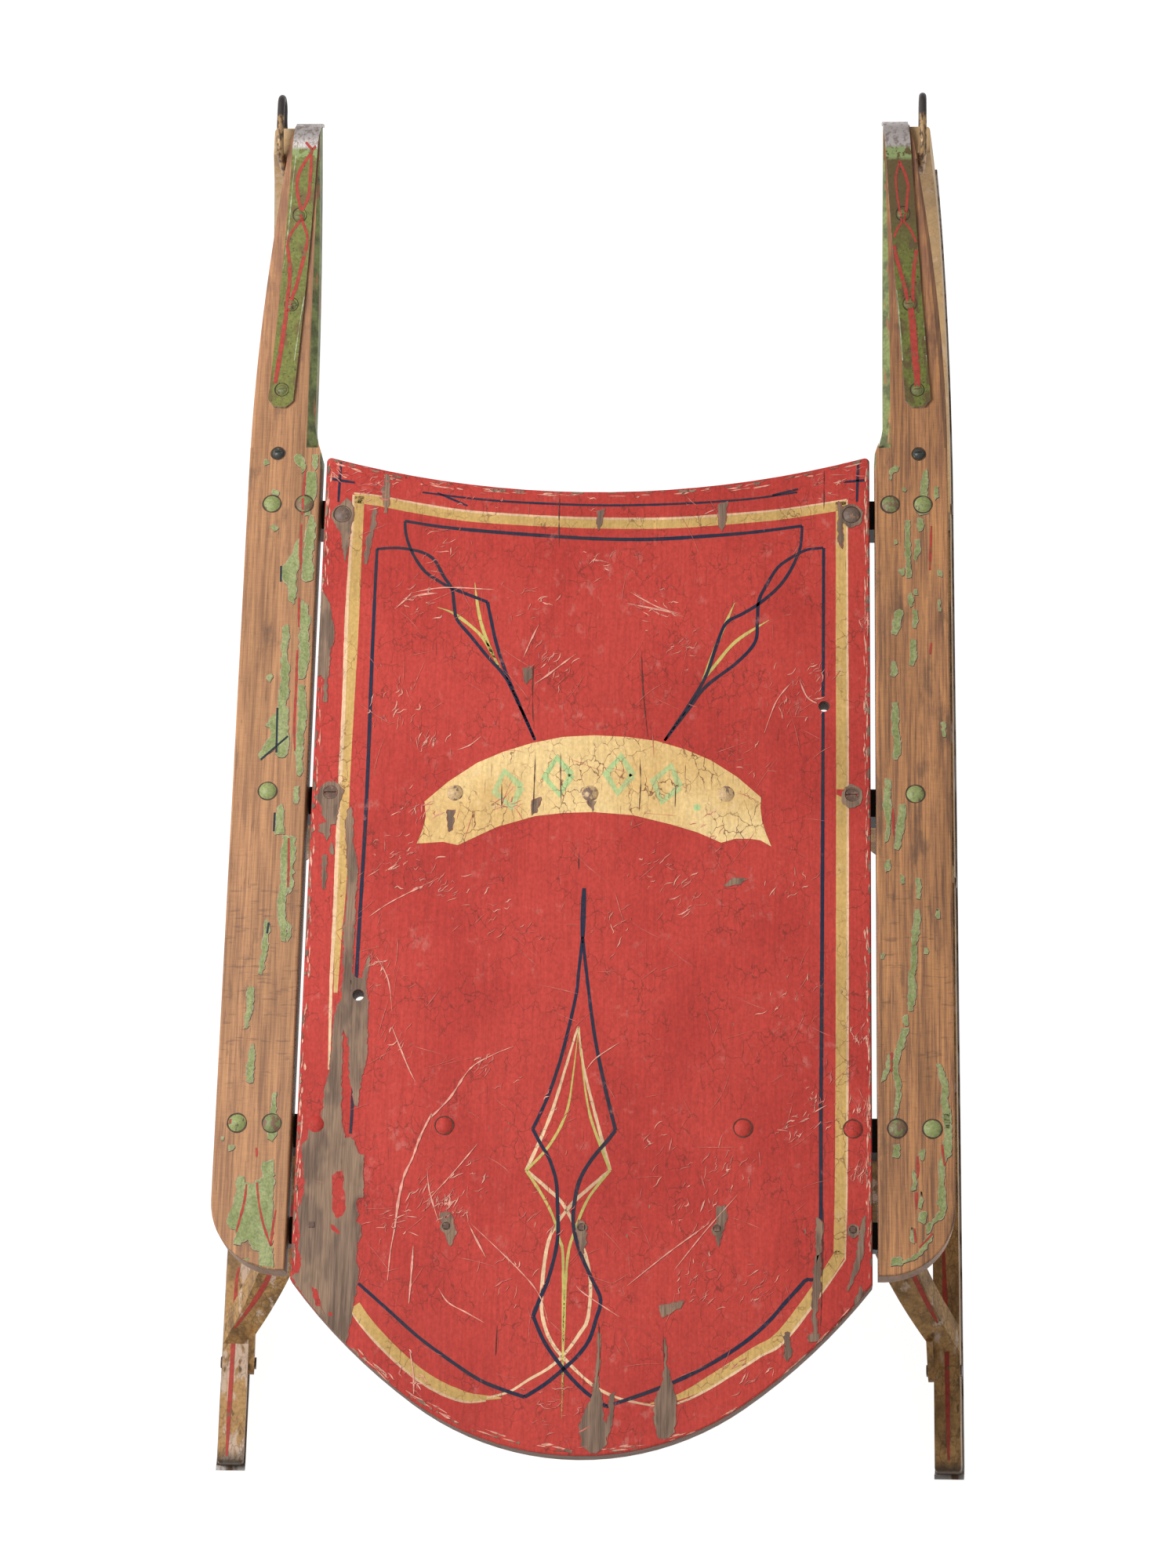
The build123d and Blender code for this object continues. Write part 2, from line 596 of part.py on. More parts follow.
single = {
    "deck": deck.part,
    "bench_front": bench_front,
    "bench_middle": bench_middle,
    "bench_rear": bench_rear,
    "rear_cleat": cleat.part,
    "deck_pegs_front": deck_pegs_front,
    "deck_pegs_middle": deck_pegs_middle,
    "deck_pegs_rear": deck_pegs_rear,
    "deck_screws": deck_screws,
    "cleat_nails": cleat_nails,
}
paired = {
    "rail": rail_right.part,
    "runner": runner_right.part,
    "shoe": shoe_right.part,
    "nose_strap": strap_right.part,
    "rope_eye": eye_right.part,
    "knee_front": knees["front"],
    "knee_middle": knees["middle"],
    "knee_rear": knees["rear"],
    "rail_bolts": rail_bolts,
    "rail_pegs": rail_pegs,
    "rail_nuts": rail_nuts,
    "rail_screw": rail_screws,
    "strap_screws": strap_screws_right.part,
    "shoe_screws": shoe_screws_right.part,
    "knee_rivets": knee_rivets_right.part,
}
for name, shape in single.items():
    shape.label = name
    export_step(shape, f"parts/{name}.step")
for name, shape in paired.items():
    shape.label = name + "_right"
    export_step(shape, f"parts/{name}_right.step")
    other = shape.mirror(Plane.YZ)
    other.label = name + "_left"
    export_step(other, f"parts/{name}_left.step")
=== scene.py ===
"""Looks of a child's painted runner sled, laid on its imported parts."""

import math
import random

import bpy
from mathutils import Matrix, Vector, noise
from mathutils.bvhtree import BVHTree
from mathutils.geometry import tessellate_polygon


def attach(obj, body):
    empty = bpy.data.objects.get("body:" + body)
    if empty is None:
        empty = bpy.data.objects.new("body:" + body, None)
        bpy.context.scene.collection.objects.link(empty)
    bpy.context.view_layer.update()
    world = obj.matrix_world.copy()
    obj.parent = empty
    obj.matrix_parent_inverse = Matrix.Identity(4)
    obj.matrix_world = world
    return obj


MM = 0.001   # lines, shapes and pattern sizes are in mm; places along an axis are in metres
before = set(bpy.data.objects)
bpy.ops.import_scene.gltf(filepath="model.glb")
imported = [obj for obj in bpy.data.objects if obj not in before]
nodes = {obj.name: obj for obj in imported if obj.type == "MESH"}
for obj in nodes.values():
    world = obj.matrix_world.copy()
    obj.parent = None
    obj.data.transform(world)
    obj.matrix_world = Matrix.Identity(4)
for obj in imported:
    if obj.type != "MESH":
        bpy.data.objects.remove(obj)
bpy.context.view_layer.update()
chance = random.Random(1907)

# ---------------------------------------------------------------- runners
# Two runners of steam-bent hardwood that lean in towards the top and curve up at the nose.
# Painted ochre and rubbed pale. A thin red stripe is brushed along the top, and like all
# the painted lines here it is a thin sheet that follows the wood below it.
OCHRE = (0.42, 0.235, 0.085)
OCHRE_DARK = (0.23, 0.125, 0.047)
OCHRE_RUBBED = (0.60, 0.44, 0.33)
OCHRE_BOW_HIGHLIGHT = (0.66, 0.46, 0.25)
STRIPE_RED = (0.42, 0.055, 0.04)
STRIPE_WIDTH = 2.9
LIT_BOW_FROM, LIT_BOW_TO = 0.20, 0.30          # the bow's paint is lightened between these places as a painted highlight
SHADED_HEEL_FROM, SHADED_HEEL_TO = -0.418, -0.4285   # the heel's end, darkened to near black as painted shade
RAY_TOP = 1.0                          # above the whole sled
DECK_TOP = 0.165
TAPER_SHARE = 4                        # a line swells over a quarter of its length at each end
RING_SIDES = 28


class Finish:
    """A node material built step by step. Sizes are in mm of the object's own space."""

    def __init__(self, name):
        self.material = bpy.data.materials.new(name)
        self.material.use_nodes = True
        self.tree = self.material.node_tree
        self.tree.nodes.clear()
        self.place = self.add("ShaderNodeTexCoord").outputs["Object"]
        self.facing = self.add("ShaderNodeNewGeometry").outputs["Normal"]

    def add(self, kind, **settings):
        made = self.tree.nodes.new(kind)
        for key, value in settings.items():
            setattr(made, key, value)
        return made

    def feed(self, socket, value):
        if isinstance(value, bpy.types.NodeSocket):
            self.tree.links.new(value, socket)
        elif socket.type == "RGBA":
            socket.default_value = (*value, 1.0)
        else:
            socket.default_value = value

    def calc(self, kind, a, b=0.0):
        made = self.add("ShaderNodeMath", operation=kind)
        self.feed(made.inputs[0], a)
        self.feed(made.inputs[1], b)
        return made.outputs[0]

    def axis(self, letter, source=None):
        made = self.add("ShaderNodeSeparateXYZ")
        self.feed(made.inputs[0], source or self.place)
        return made.outputs[letter]

    def scaled(self, size, shift=(0.0, 0.0, 0.0)):
        """Object space divided by the feature size along each axis."""
        made = self.add("ShaderNodeVectorMath", operation="MULTIPLY_ADD")
        self.feed(made.inputs[0], self.place)
        made.inputs[1].default_value = [1.0 / (s * MM) for s in size]
        made.inputs[2].default_value = shift
        return made.outputs[0]

    def cloud(self, size, detail=3.0, rough=0.55, shift=(0.0, 0.0, 0.0), bend=0.0):
        made = self.add("ShaderNodeTexNoise")
        size = size if isinstance(size, tuple) else (size, size, size)
        self.feed(made.inputs["Vector"], self.scaled(size, shift))
        self.feed(made.inputs["Scale"], 1.0)
        self.feed(made.inputs["Detail"], detail)
        self.feed(made.inputs["Roughness"], rough)
        self.feed(made.inputs["Distortion"], bend)
        return made.outputs[0]

    def cracks(self, size, width, sway=0.35):
        """1 on the lines of a crackle pattern, 0 elsewhere."""
        sway_by = self.add("ShaderNodeTexNoise")
        self.feed(sway_by.inputs["Vector"], self.scaled(size))
        self.feed(sway_by.inputs["Scale"], 1.7)
        moved = self.add("ShaderNodeVectorMath", operation="MULTIPLY_ADD")
        self.feed(moved.inputs[0], sway_by.outputs[1])
        moved.inputs[1].default_value = (sway * 2, sway * 2, sway * 2)
        self.feed(moved.inputs[2], self.scaled(size))
        cells = self.add("ShaderNodeTexVoronoi", feature="DISTANCE_TO_EDGE")
        self.feed(cells.inputs["Vector"], moved.outputs[0])
        self.feed(cells.inputs["Scale"], 1.0)
        return self.step(cells.outputs["Distance"], width, width * 0.3)

    def step(self, value, low, high):
        """0 at low rising to 1 at high, or the other way round."""
        made = self.add("ShaderNodeMapRange", interpolation_type="SMOOTHSTEP")
        self.feed(made.inputs["Value"], value)
        made.inputs["From Min"].default_value = min(low, high)
        made.inputs["From Max"].default_value = max(low, high)
        made.inputs["To Min"].default_value = 0.0 if low < high else 1.0
        made.inputs["To Max"].default_value = 1.0 if low < high else 0.0
        return made.outputs["Result"]

    def both(self, a, b):
        return self.calc("MULTIPLY", a, b)

    def either(self, a, b):
        return self.calc("MAXIMUM", a, b)

    def blend(self, share, a, b):
        """Colour a where share is 0 and colour b where it is 1."""
        made = self.add("ShaderNodeMix", data_type="RGBA")
        self.feed(made.inputs[0], share)
        self.feed(made.inputs[6], a)
        self.feed(made.inputs[7], b)
        return made.outputs[2]

    def shade(self, colour, amount, low, high):
        """Colour darkened or lightened from low to high as amount goes from 0 to 1."""
        grey = self.add("ShaderNodeMapRange")
        self.feed(grey.inputs["Value"], amount)
        grey.inputs["From Min"].default_value = 0.3
        grey.inputs["From Max"].default_value = 0.7
        grey.inputs["To Min"].default_value = low
        grey.inputs["To Max"].default_value = high
        made = self.add("ShaderNodeVectorMath", operation="SCALE")
        self.feed(made.inputs[0], colour)
        self.feed(made.inputs["Scale"], grey.outputs["Result"])
        return made.outputs[0]

    def done(self, colour, rough=0.6, relief=None, depth=0.1, metal=0.0, gloss=0.35):
        skin = self.add("ShaderNodeBsdfPrincipled")
        self.feed(skin.inputs["Base Color"], colour)
        self.feed(skin.inputs["Roughness"], rough)
        self.feed(skin.inputs["Metallic"], metal)
        skin.inputs["Specular IOR Level"].default_value = gloss
        if relief is not None:
            bump = self.add("ShaderNodeBump")
            bump.inputs["Strength"].default_value = 0.6
            bump.inputs["Distance"].default_value = depth * MM
            self.feed(bump.inputs["Height"], relief)
            self.feed(skin.inputs["Normal"], bump.outputs[0])
        out = self.add("ShaderNodeOutputMaterial")
        self.feed(out.inputs["Surface"], skin.outputs[0])
        return self.material


def dress(material, *names):
    """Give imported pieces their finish; a name covers its _left and _right twins too."""
    for name in names:
        for node in (name, name + "_left", name + "_right"):
            if node in nodes:
                for socket in nodes[node].material_slots:
                    socket.material = material


def skin_of(*names):
    """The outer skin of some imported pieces, for laying paint on."""
    points, faces = [], []
    for name in names:
        start = len(points)
        mesh = nodes[name].data
        points += [nodes[name].matrix_world @ v.co for v in mesh.vertices]
        faces += [[start + i for i in face.vertices] for face in mesh.polygons]
    return BVHTree.FromPolygons(points, faces)


def smooth_run(points, gap):
    """A curve through the points, sampled about every gap mm."""
    if len(points) < 3:
        (ax, ay), (bx, by) = points
        n = max(1, round(math.dist(points[0], points[1]) / gap))
        return [(ax + (bx - ax) * i / n, ay + (by - ay) * i / n) for i in range(n + 1)]
    knots = [points[0]] + list(points) + [points[-1]]
    run = []
    for p, a, b, q in zip(knots, knots[1:], knots[2:], knots[3:]):
        n = max(1, round(math.dist(a, b) / gap))
        for i in range(n):
            t = i / n
            run.append(tuple(0.5 * (2 * a[k] + (b[k] - p[k]) * t
                                    + (2 * p[k] - 5 * a[k] + 4 * b[k] - q[k]) * t * t
                                    + (3 * a[k] - p[k] - 3 * b[k] + q[k]) * t ** 3) for k in (0, 1)))
    return run + [points[-1]]


def runs_between_corners(points, sharp=42.0):
    """The line cut wherever it turns by more than sharp degrees."""
    runs, run = [], [points[0]]
    for a, b, c in zip(points, points[1:], points[2:]):
        run.append(b)
        turn = math.degrees(Vector((b[0] - a[0], b[1] - a[1])).angle(Vector((c[0] - b[0], c[1] - b[1])), 0.0))
        if turn > sharp:
            runs.append(run)
            run = [b]
    run.append(points[-1])
    return runs + [run]


def roughened(outline, amount, gap=1.4, seed=0.0):
    """A closed outline with the torn edge of flaked paint."""
    torn = []
    for a, b in zip(outline, list(outline[1:]) + [outline[0]]):
        n = max(1, round(math.dist(a, b) / gap))
        for i in range(n):
            x, y = a[0] + (b[0] - a[0]) * i / n, a[1] + (b[1] - a[1]) * i / n
            at = Vector((x * 0.42, y * 0.42, seed))
            torn.append((x + amount * noise.noise(at), y + amount * noise.noise(at + Vector((7, 3, 5)))))
    return torn


def round_loop(x, y, radius, sides=20):
    return [(x + radius * math.cos(math.tau * i / sides), y + radius * math.sin(math.tau * i / sides))
            for i in range(sides)]


class Coat:
    """Thin shapes of one colour, drawn in plan in mm and dropped on the skin below them."""

    def __init__(self, skin, lift):
        self.skin, self.lift = skin, lift * MM
        self.points, self.faces = [], []

    def spot(self, x, y, keep=True):
        """The point of the skin below a place; off its edge, the nearest one or nothing."""
        hit = self.skin.ray_cast(Vector((x * MM, y * MM, RAY_TOP)), Vector((0, 0, -1)))[0]
        if hit is None:
            if not keep:
                return None
            hit = self.skin.find_nearest(Vector((x * MM, y * MM, DECK_TOP)))[0]
        self.points.append((hit.x, hit.y, hit.z + self.lift))
        return len(self.points) - 1

    def stroke(self, line, width, ends=(1.0, 1.0), smooth=True, gap=2.5, waver=0.06):
        """A brushed line; ends are the shares of the width at its two ends."""
        runs = runs_between_corners(line) if smooth else [line]
        total = sum(math.dist(a, b) for a, b in zip(line, line[1:])) or 1.0
        gone = 0.0
        for run in runs:
            path = smooth_run(run, gap) if smooth else run
            last = None
            for i, here in enumerate(path):
                before, after = path[max(i - 1, 0)], path[min(i + 1, len(path) - 1)]
                along = Vector((after[0] - before[0], after[1] - before[1]))
                if along.length < 1e-6:
                    continue
                side = Vector((-along.y, along.x)).normalized()
                if i:
                    gone += math.dist(before, here)
                t = min(gone / total, 1.0)
                grow = min(1.0, ends[0] + (1 - ends[0]) * t * TAPER_SHARE,
                           ends[1] + (1 - ends[1]) * (1 - t) * TAPER_SHARE)
                shake = noise.noise(Vector((here[0] * 0.2, here[1] * 0.2, 9)))
                half = 0.5 * width * grow * (1 + waver * shake)
                pair = [self.spot(here[0] + s * half * side.x, here[1] + s * half * side.y, keep=False)
                        for s in (-1, 1)]
                if None in pair:
                    last = None
                    continue
                if last:
                    self.faces.append((last[0], pair[0], pair[1], last[1]))
                last = pair

    def patch(self, outline, hole=(), level=False):
        """A filled shape; level keeps it flat where its outline reaches a rounded edge."""
        flat = [Vector((x, y, 0)) for x, y in list(outline) + list(hole)]
        first = len(self.points)
        for place in flat:
            self.spot(place.x, place.y)
        if level:
            top = max(point[2] for point in self.points[first:])
            self.points[first:] = [(x, y, top) for x, y, z in self.points[first:]]
        loops = [flat[:len(outline)], flat[len(outline):]] if hole else [flat]
        for a, b, c in tessellate_polygon(loops):
            turn = (flat[b] - flat[a]).cross(flat[c] - flat[a]).z
            order = (a, b, c) if turn > 0 else (a, c, b)
            self.faces.append(tuple(first + i for i in order))

    def ring(self, centre, radius, width):
        """A broken line round a head."""
        loop = round_loop(*centre, radius, sides=RING_SIDES)
        self.stroke(loop + [loop[0]], width, smooth=False, waver=0.9)

    def make(self, name, material, slot):
        """The piece itself, riding on the sled."""
        mesh = bpy.data.meshes.new(name)
        mesh.from_pydata(self.points, [], self.faces)
        mesh.materials.append(material)
        piece = bpy.data.objects.new(name, mesh)
        bpy.context.scene.collection.objects.link(piece)
        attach(piece, "root")


def ochre_finish(name, rubbed, dim=1.0):
    """Old ochre paint: crackled, dirty in the cracks and rubbed pale in long patches."""
    f = Finish(name)
    body = f.blend(f.step(f.cloud((14, 30, 14)), 0.42, 0.62), OCHRE, OCHRE_DARK)
    body = f.shade(body, f.cloud(2.2, detail=4.0), 0.75 * dim, 1.25 * dim)
    pale = f.step(f.cloud((9, 26, 9), detail=5.0, shift=(3, 1, 8)), 0.66 - rubbed, 0.72 - rubbed)
    body = f.blend(f.both(pale, 0.85), body, OCHRE_RUBBED)
    # the bow is lightened as a painted highlight on its upturned face, and carries less grime
    bow = f.step(f.axis("Y"), LIT_BOW_FROM, LIT_BOW_TO)
    body = f.blend(f.both(bow, 0.65), body, OCHRE_BOW_HIGHLIGHT)
    lines = f.both(f.cracks((5, 9, 5), 0.075), f.step(f.cloud(30), 0.38, 0.55))
    dirt = f.step(f.cloud((5, 12, 5), detail=5.0, shift=(9, 9, 2)), 0.62, 0.70)
    grimy = f.both(f.either(f.both(lines, 0.4), f.both(dirt, 0.7)), f.calc("SUBTRACT", 1.0, f.both(bow, 0.6)))
    body = f.blend(grimy, body, (0.055, 0.032, 0.018))
    # the heel's end is darkened to near black as painted shade
    heel = f.step(f.axis("Y"), SHADED_HEEL_FROM, SHADED_HEEL_TO)
    body = f.blend(f.both(heel, 0.85), body, (0.03, 0.022, 0.017))
    return f.done(body, rough=0.55, relief=f.cloud(1.6), depth=0.25, gloss=0.3)


dress(ochre_finish("ochre_left", 0.16, 1.05), "runner_left")
dress(ochre_finish("ochre_right", 0.08, 1.15), "runner_right")


def plain_paint(name, colour, chip=None, patchy=0.9):
    """Thin brushed paint, uneven, with what lies under it showing in small chips."""
    f = Finish(name)
    body = f.shade(colour, f.cloud(3.0, detail=5.0), 1 - 0.25 * patchy, 1 + 0.25 * patchy)
    if chip:
        body = f.blend(f.step(f.cloud((2.5, 6, 2.5), detail=4.0, shift=(4, 4, 4)), 0.60, 0.66), body, chip)
    return f.done(body, rough=0.6, gloss=0.25)


stripe_red = plain_paint("stripe_red", STRIPE_RED, chip=(0.22, 0.12, 0.06))
RUNNER_STRIPES = [
    [(-227.4, -302.5), (-228.6, -315.5), (-228.7, -361.8), (-229.1, -397.9), (-229.3, -424.1)],
    [(225.4, -278.6), (226, -306.6), (227, -354.6), (227.2, -388.4), (227.4, -421.3)]
]
runner_stripes = Coat(skin_of("runner_left", "runner_right"), lift=0.12)
for stripe in RUNNER_STRIPES:
    runner_stripes.stroke(stripe, STRIPE_WIDTH, ends=(0.5, 0.5))
runner_stripes.make("runner_stripes", stripe_red, "gold_wood")

# ---------------------------------------------------------------- shoes
# A flat iron strip under each runner, from the heel to part of the way up the bow.
# Dull steel with brown rust, held by countersunk screws from below.


def iron_finish(name, bright, rust):
    f = Finish(name)
    body = f.blend(f.step(f.cloud((6, 20, 6), detail=5.0), 0.42, 0.62), bright, rust)
    rough = f.calc("ADD", 0.4, f.both(f.cloud((6, 20, 6), detail=5.0), 0.3))
    return f.done(body, rough=rough, relief=f.cloud(1.5, detail=4.0), depth=0.15, metal=0.75, gloss=0.5)


SHOE_STEEL = (0.34, 0.31, 0.29)
SHOE_RUST = (0.13, 0.075, 0.045)
dress(iron_finish("shoe_iron", SHOE_STEEL, SHOE_RUST), "shoe", "shoe_screws", "knee_rivets")

# ---------------------------------------------------------------- knees
# Bent ochre-painted struts from the benches down to the runners, three on each side.
# The rear pair rakes back, and each carries a thin red stripe down its upper face.
for side, rubbed, dim in (("left", 0.09, 0.95), ("right", 0.07, 1.08)):
    dress(ochre_finish("ochre_knees_" + side, rubbed, dim),
          *[row + side for row in ("knee_front_", "knee_middle_", "knee_rear_")])
KNEE_STRIPES = [
    [(-183.1, -269.7), (-184.5, -279.9), (-204.2, -318.1), (-227.1, -344)],
    [(196.4, -300.9), (204.1, -311.7), (212.1, -324), (220.7, -337.1)]
]
knee_stripes = Coat(skin_of("knee_rear_left", "knee_rear_right"), lift=0.15)
for stripe in KNEE_STRIPES:
    knee_stripes.stroke(stripe, STRIPE_WIDTH, ends=(0.6, 0.4), gap=1.5)
knee_stripes.make("knee_stripes", stripe_red, "gold_wood")

# ---------------------------------------------------------------- benches
# Three cross bars and a slimmer rear cleat under the deck and rails, coloured near black.
# Plain sawn wood; the rails and the deck are pegged and bolted down on them.
BENCH_BLACK = (0.012, 0.011, 0.011)
f = Finish("bench_black")
dress(f.done(f.shade(BENCH_BLACK, f.cloud((30, 4, 4)), 0.7, 1.4), rough=0.5, gloss=0.3),
      "bench_front", "bench_middle", "bench_rear", "rear_cleat")

# ---------------------------------------------------------------- rails
# Side boards outside the deck, sawn from one plank each and rising into horns in front.
# Bare orange-brown wood with dark stains; the old green paint survives in torn flakes.
# Flakes have a pale broken edge and a painted shadow to one side; thin red and dark lines of the old striping
# remain.
GREEN = (0.25, 0.29, 0.105)
GREEN_DARK = (0.13, 0.15, 0.065)
FLAKE_EDGE = (0.36, 0.33, 0.20)
STAIN = (0.10, 0.06, 0.042)
OUTLINE = (0.07, 0.045, 0.03)
HORN_BROWN = (0.24, 0.11, 0.07)
HORN_FROM, HORN_TO = 0.192, 0.200       # the horn's inner side is green from its root on
HANDLED_FROM, HANDLED_TO = 0.24, 0.36   # hands have darkened the upper horn
CURL_FRONT = (-0.05, -0.11)             # curly figure shows between these places
CURL_REAR = (-0.26, -0.20)


def rail_finish(name, side, light, mid, dark, stain):
    f = Finish(name)
    grain = f.cloud((1.7, 60, 8), detail=6.0, rough=0.7, shift=(side * 4, 0, 0), bend=0.3)
    wood = f.blend(f.step(grain, 0.36, 0.54), dark, mid)
    wood = f.blend(f.step(grain, 0.48, 0.68), wood, light)
    wood = f.shade(wood, f.cloud((10, 120, 20), detail=3.0, shift=(side, 2, 0)), 0.80, 1.16)
    wood = f.shade(wood, f.cloud((7, 1.0, 6), detail=3.0, shift=(side, 8, 0)), 0.93, 1.06)
    blot = f.cloud((16, 44, 16), detail=6.0, rough=0.65, shift=(side * 9, 3, 1))
    wood = f.blend(f.both(f.step(blot, stain, stain + 0.15), 0.55), wood, STAIN)
    pore = f.step(f.cloud((0.8, 12, 3), detail=2.0, shift=(5, side, 2)), 0.66, 0.74)
    wood = f.blend(f.both(pore, 0.45), wood, OUTLINE)
    curl = f.both(f.step(f.cloud((11, 2.6, 9), detail=2.0, shift=(side, 6, 0)), 0.58, 0.70),
                  f.both(f.step(f.axis("Y"), *CURL_FRONT), f.step(f.axis("Y"), *CURL_REAR)))
    wood = f.blend(f.both(curl, 0.4), wood, STAIN)
    handled = f.both(f.step(f.axis("Y"), HANDLED_FROM, HANDLED_TO),
                     f.step(f.cloud((8, 40, 8), shift=(4, side, 4)), 0.36, 0.58))
    wood = f.blend(f.both(handled, 0.6), wood, HORN_BROWN)
    end = f.step(f.axis("Y", f.facing), -0.35, -0.7)
    wood = f.blend(f.both(end, 0.6), wood, (0.12, 0.07, 0.045))
    inward = f.calc("MULTIPLY", f.axis("X", f.facing), -side)
    horn = f.both(f.step(f.axis("Y"), HORN_FROM, HORN_TO), f.step(inward, 0.3, 0.42))
    kept = f.step(f.cloud((4, 22, 4), detail=5.0, shift=(2, 2, 7)), 0.66, 0.58)
    green = f.shade(f.blend(f.step(f.cloud(12), 0.4, 0.6), GREEN, GREEN_DARK), f.cloud(2), 0.75, 1.2)
    body = f.blend(f.both(horn, kept), wood, green)
    return f.done(body, rough=0.55, relief=grain, depth=0.25, gloss=0.3)


dress(rail_finish("rail_wood_left", -1, light=(0.54, 0.275, 0.125), mid=(0.44, 0.215, 0.102),
                  dark=(0.30, 0.145, 0.075), stain=0.57), "rail_left")
dress(rail_finish("rail_wood_right", 1, light=(0.57, 0.27, 0.105), mid=(0.42, 0.195, 0.088),
                  dark=(0.23, 0.11, 0.06), stain=0.54), "rail_right")

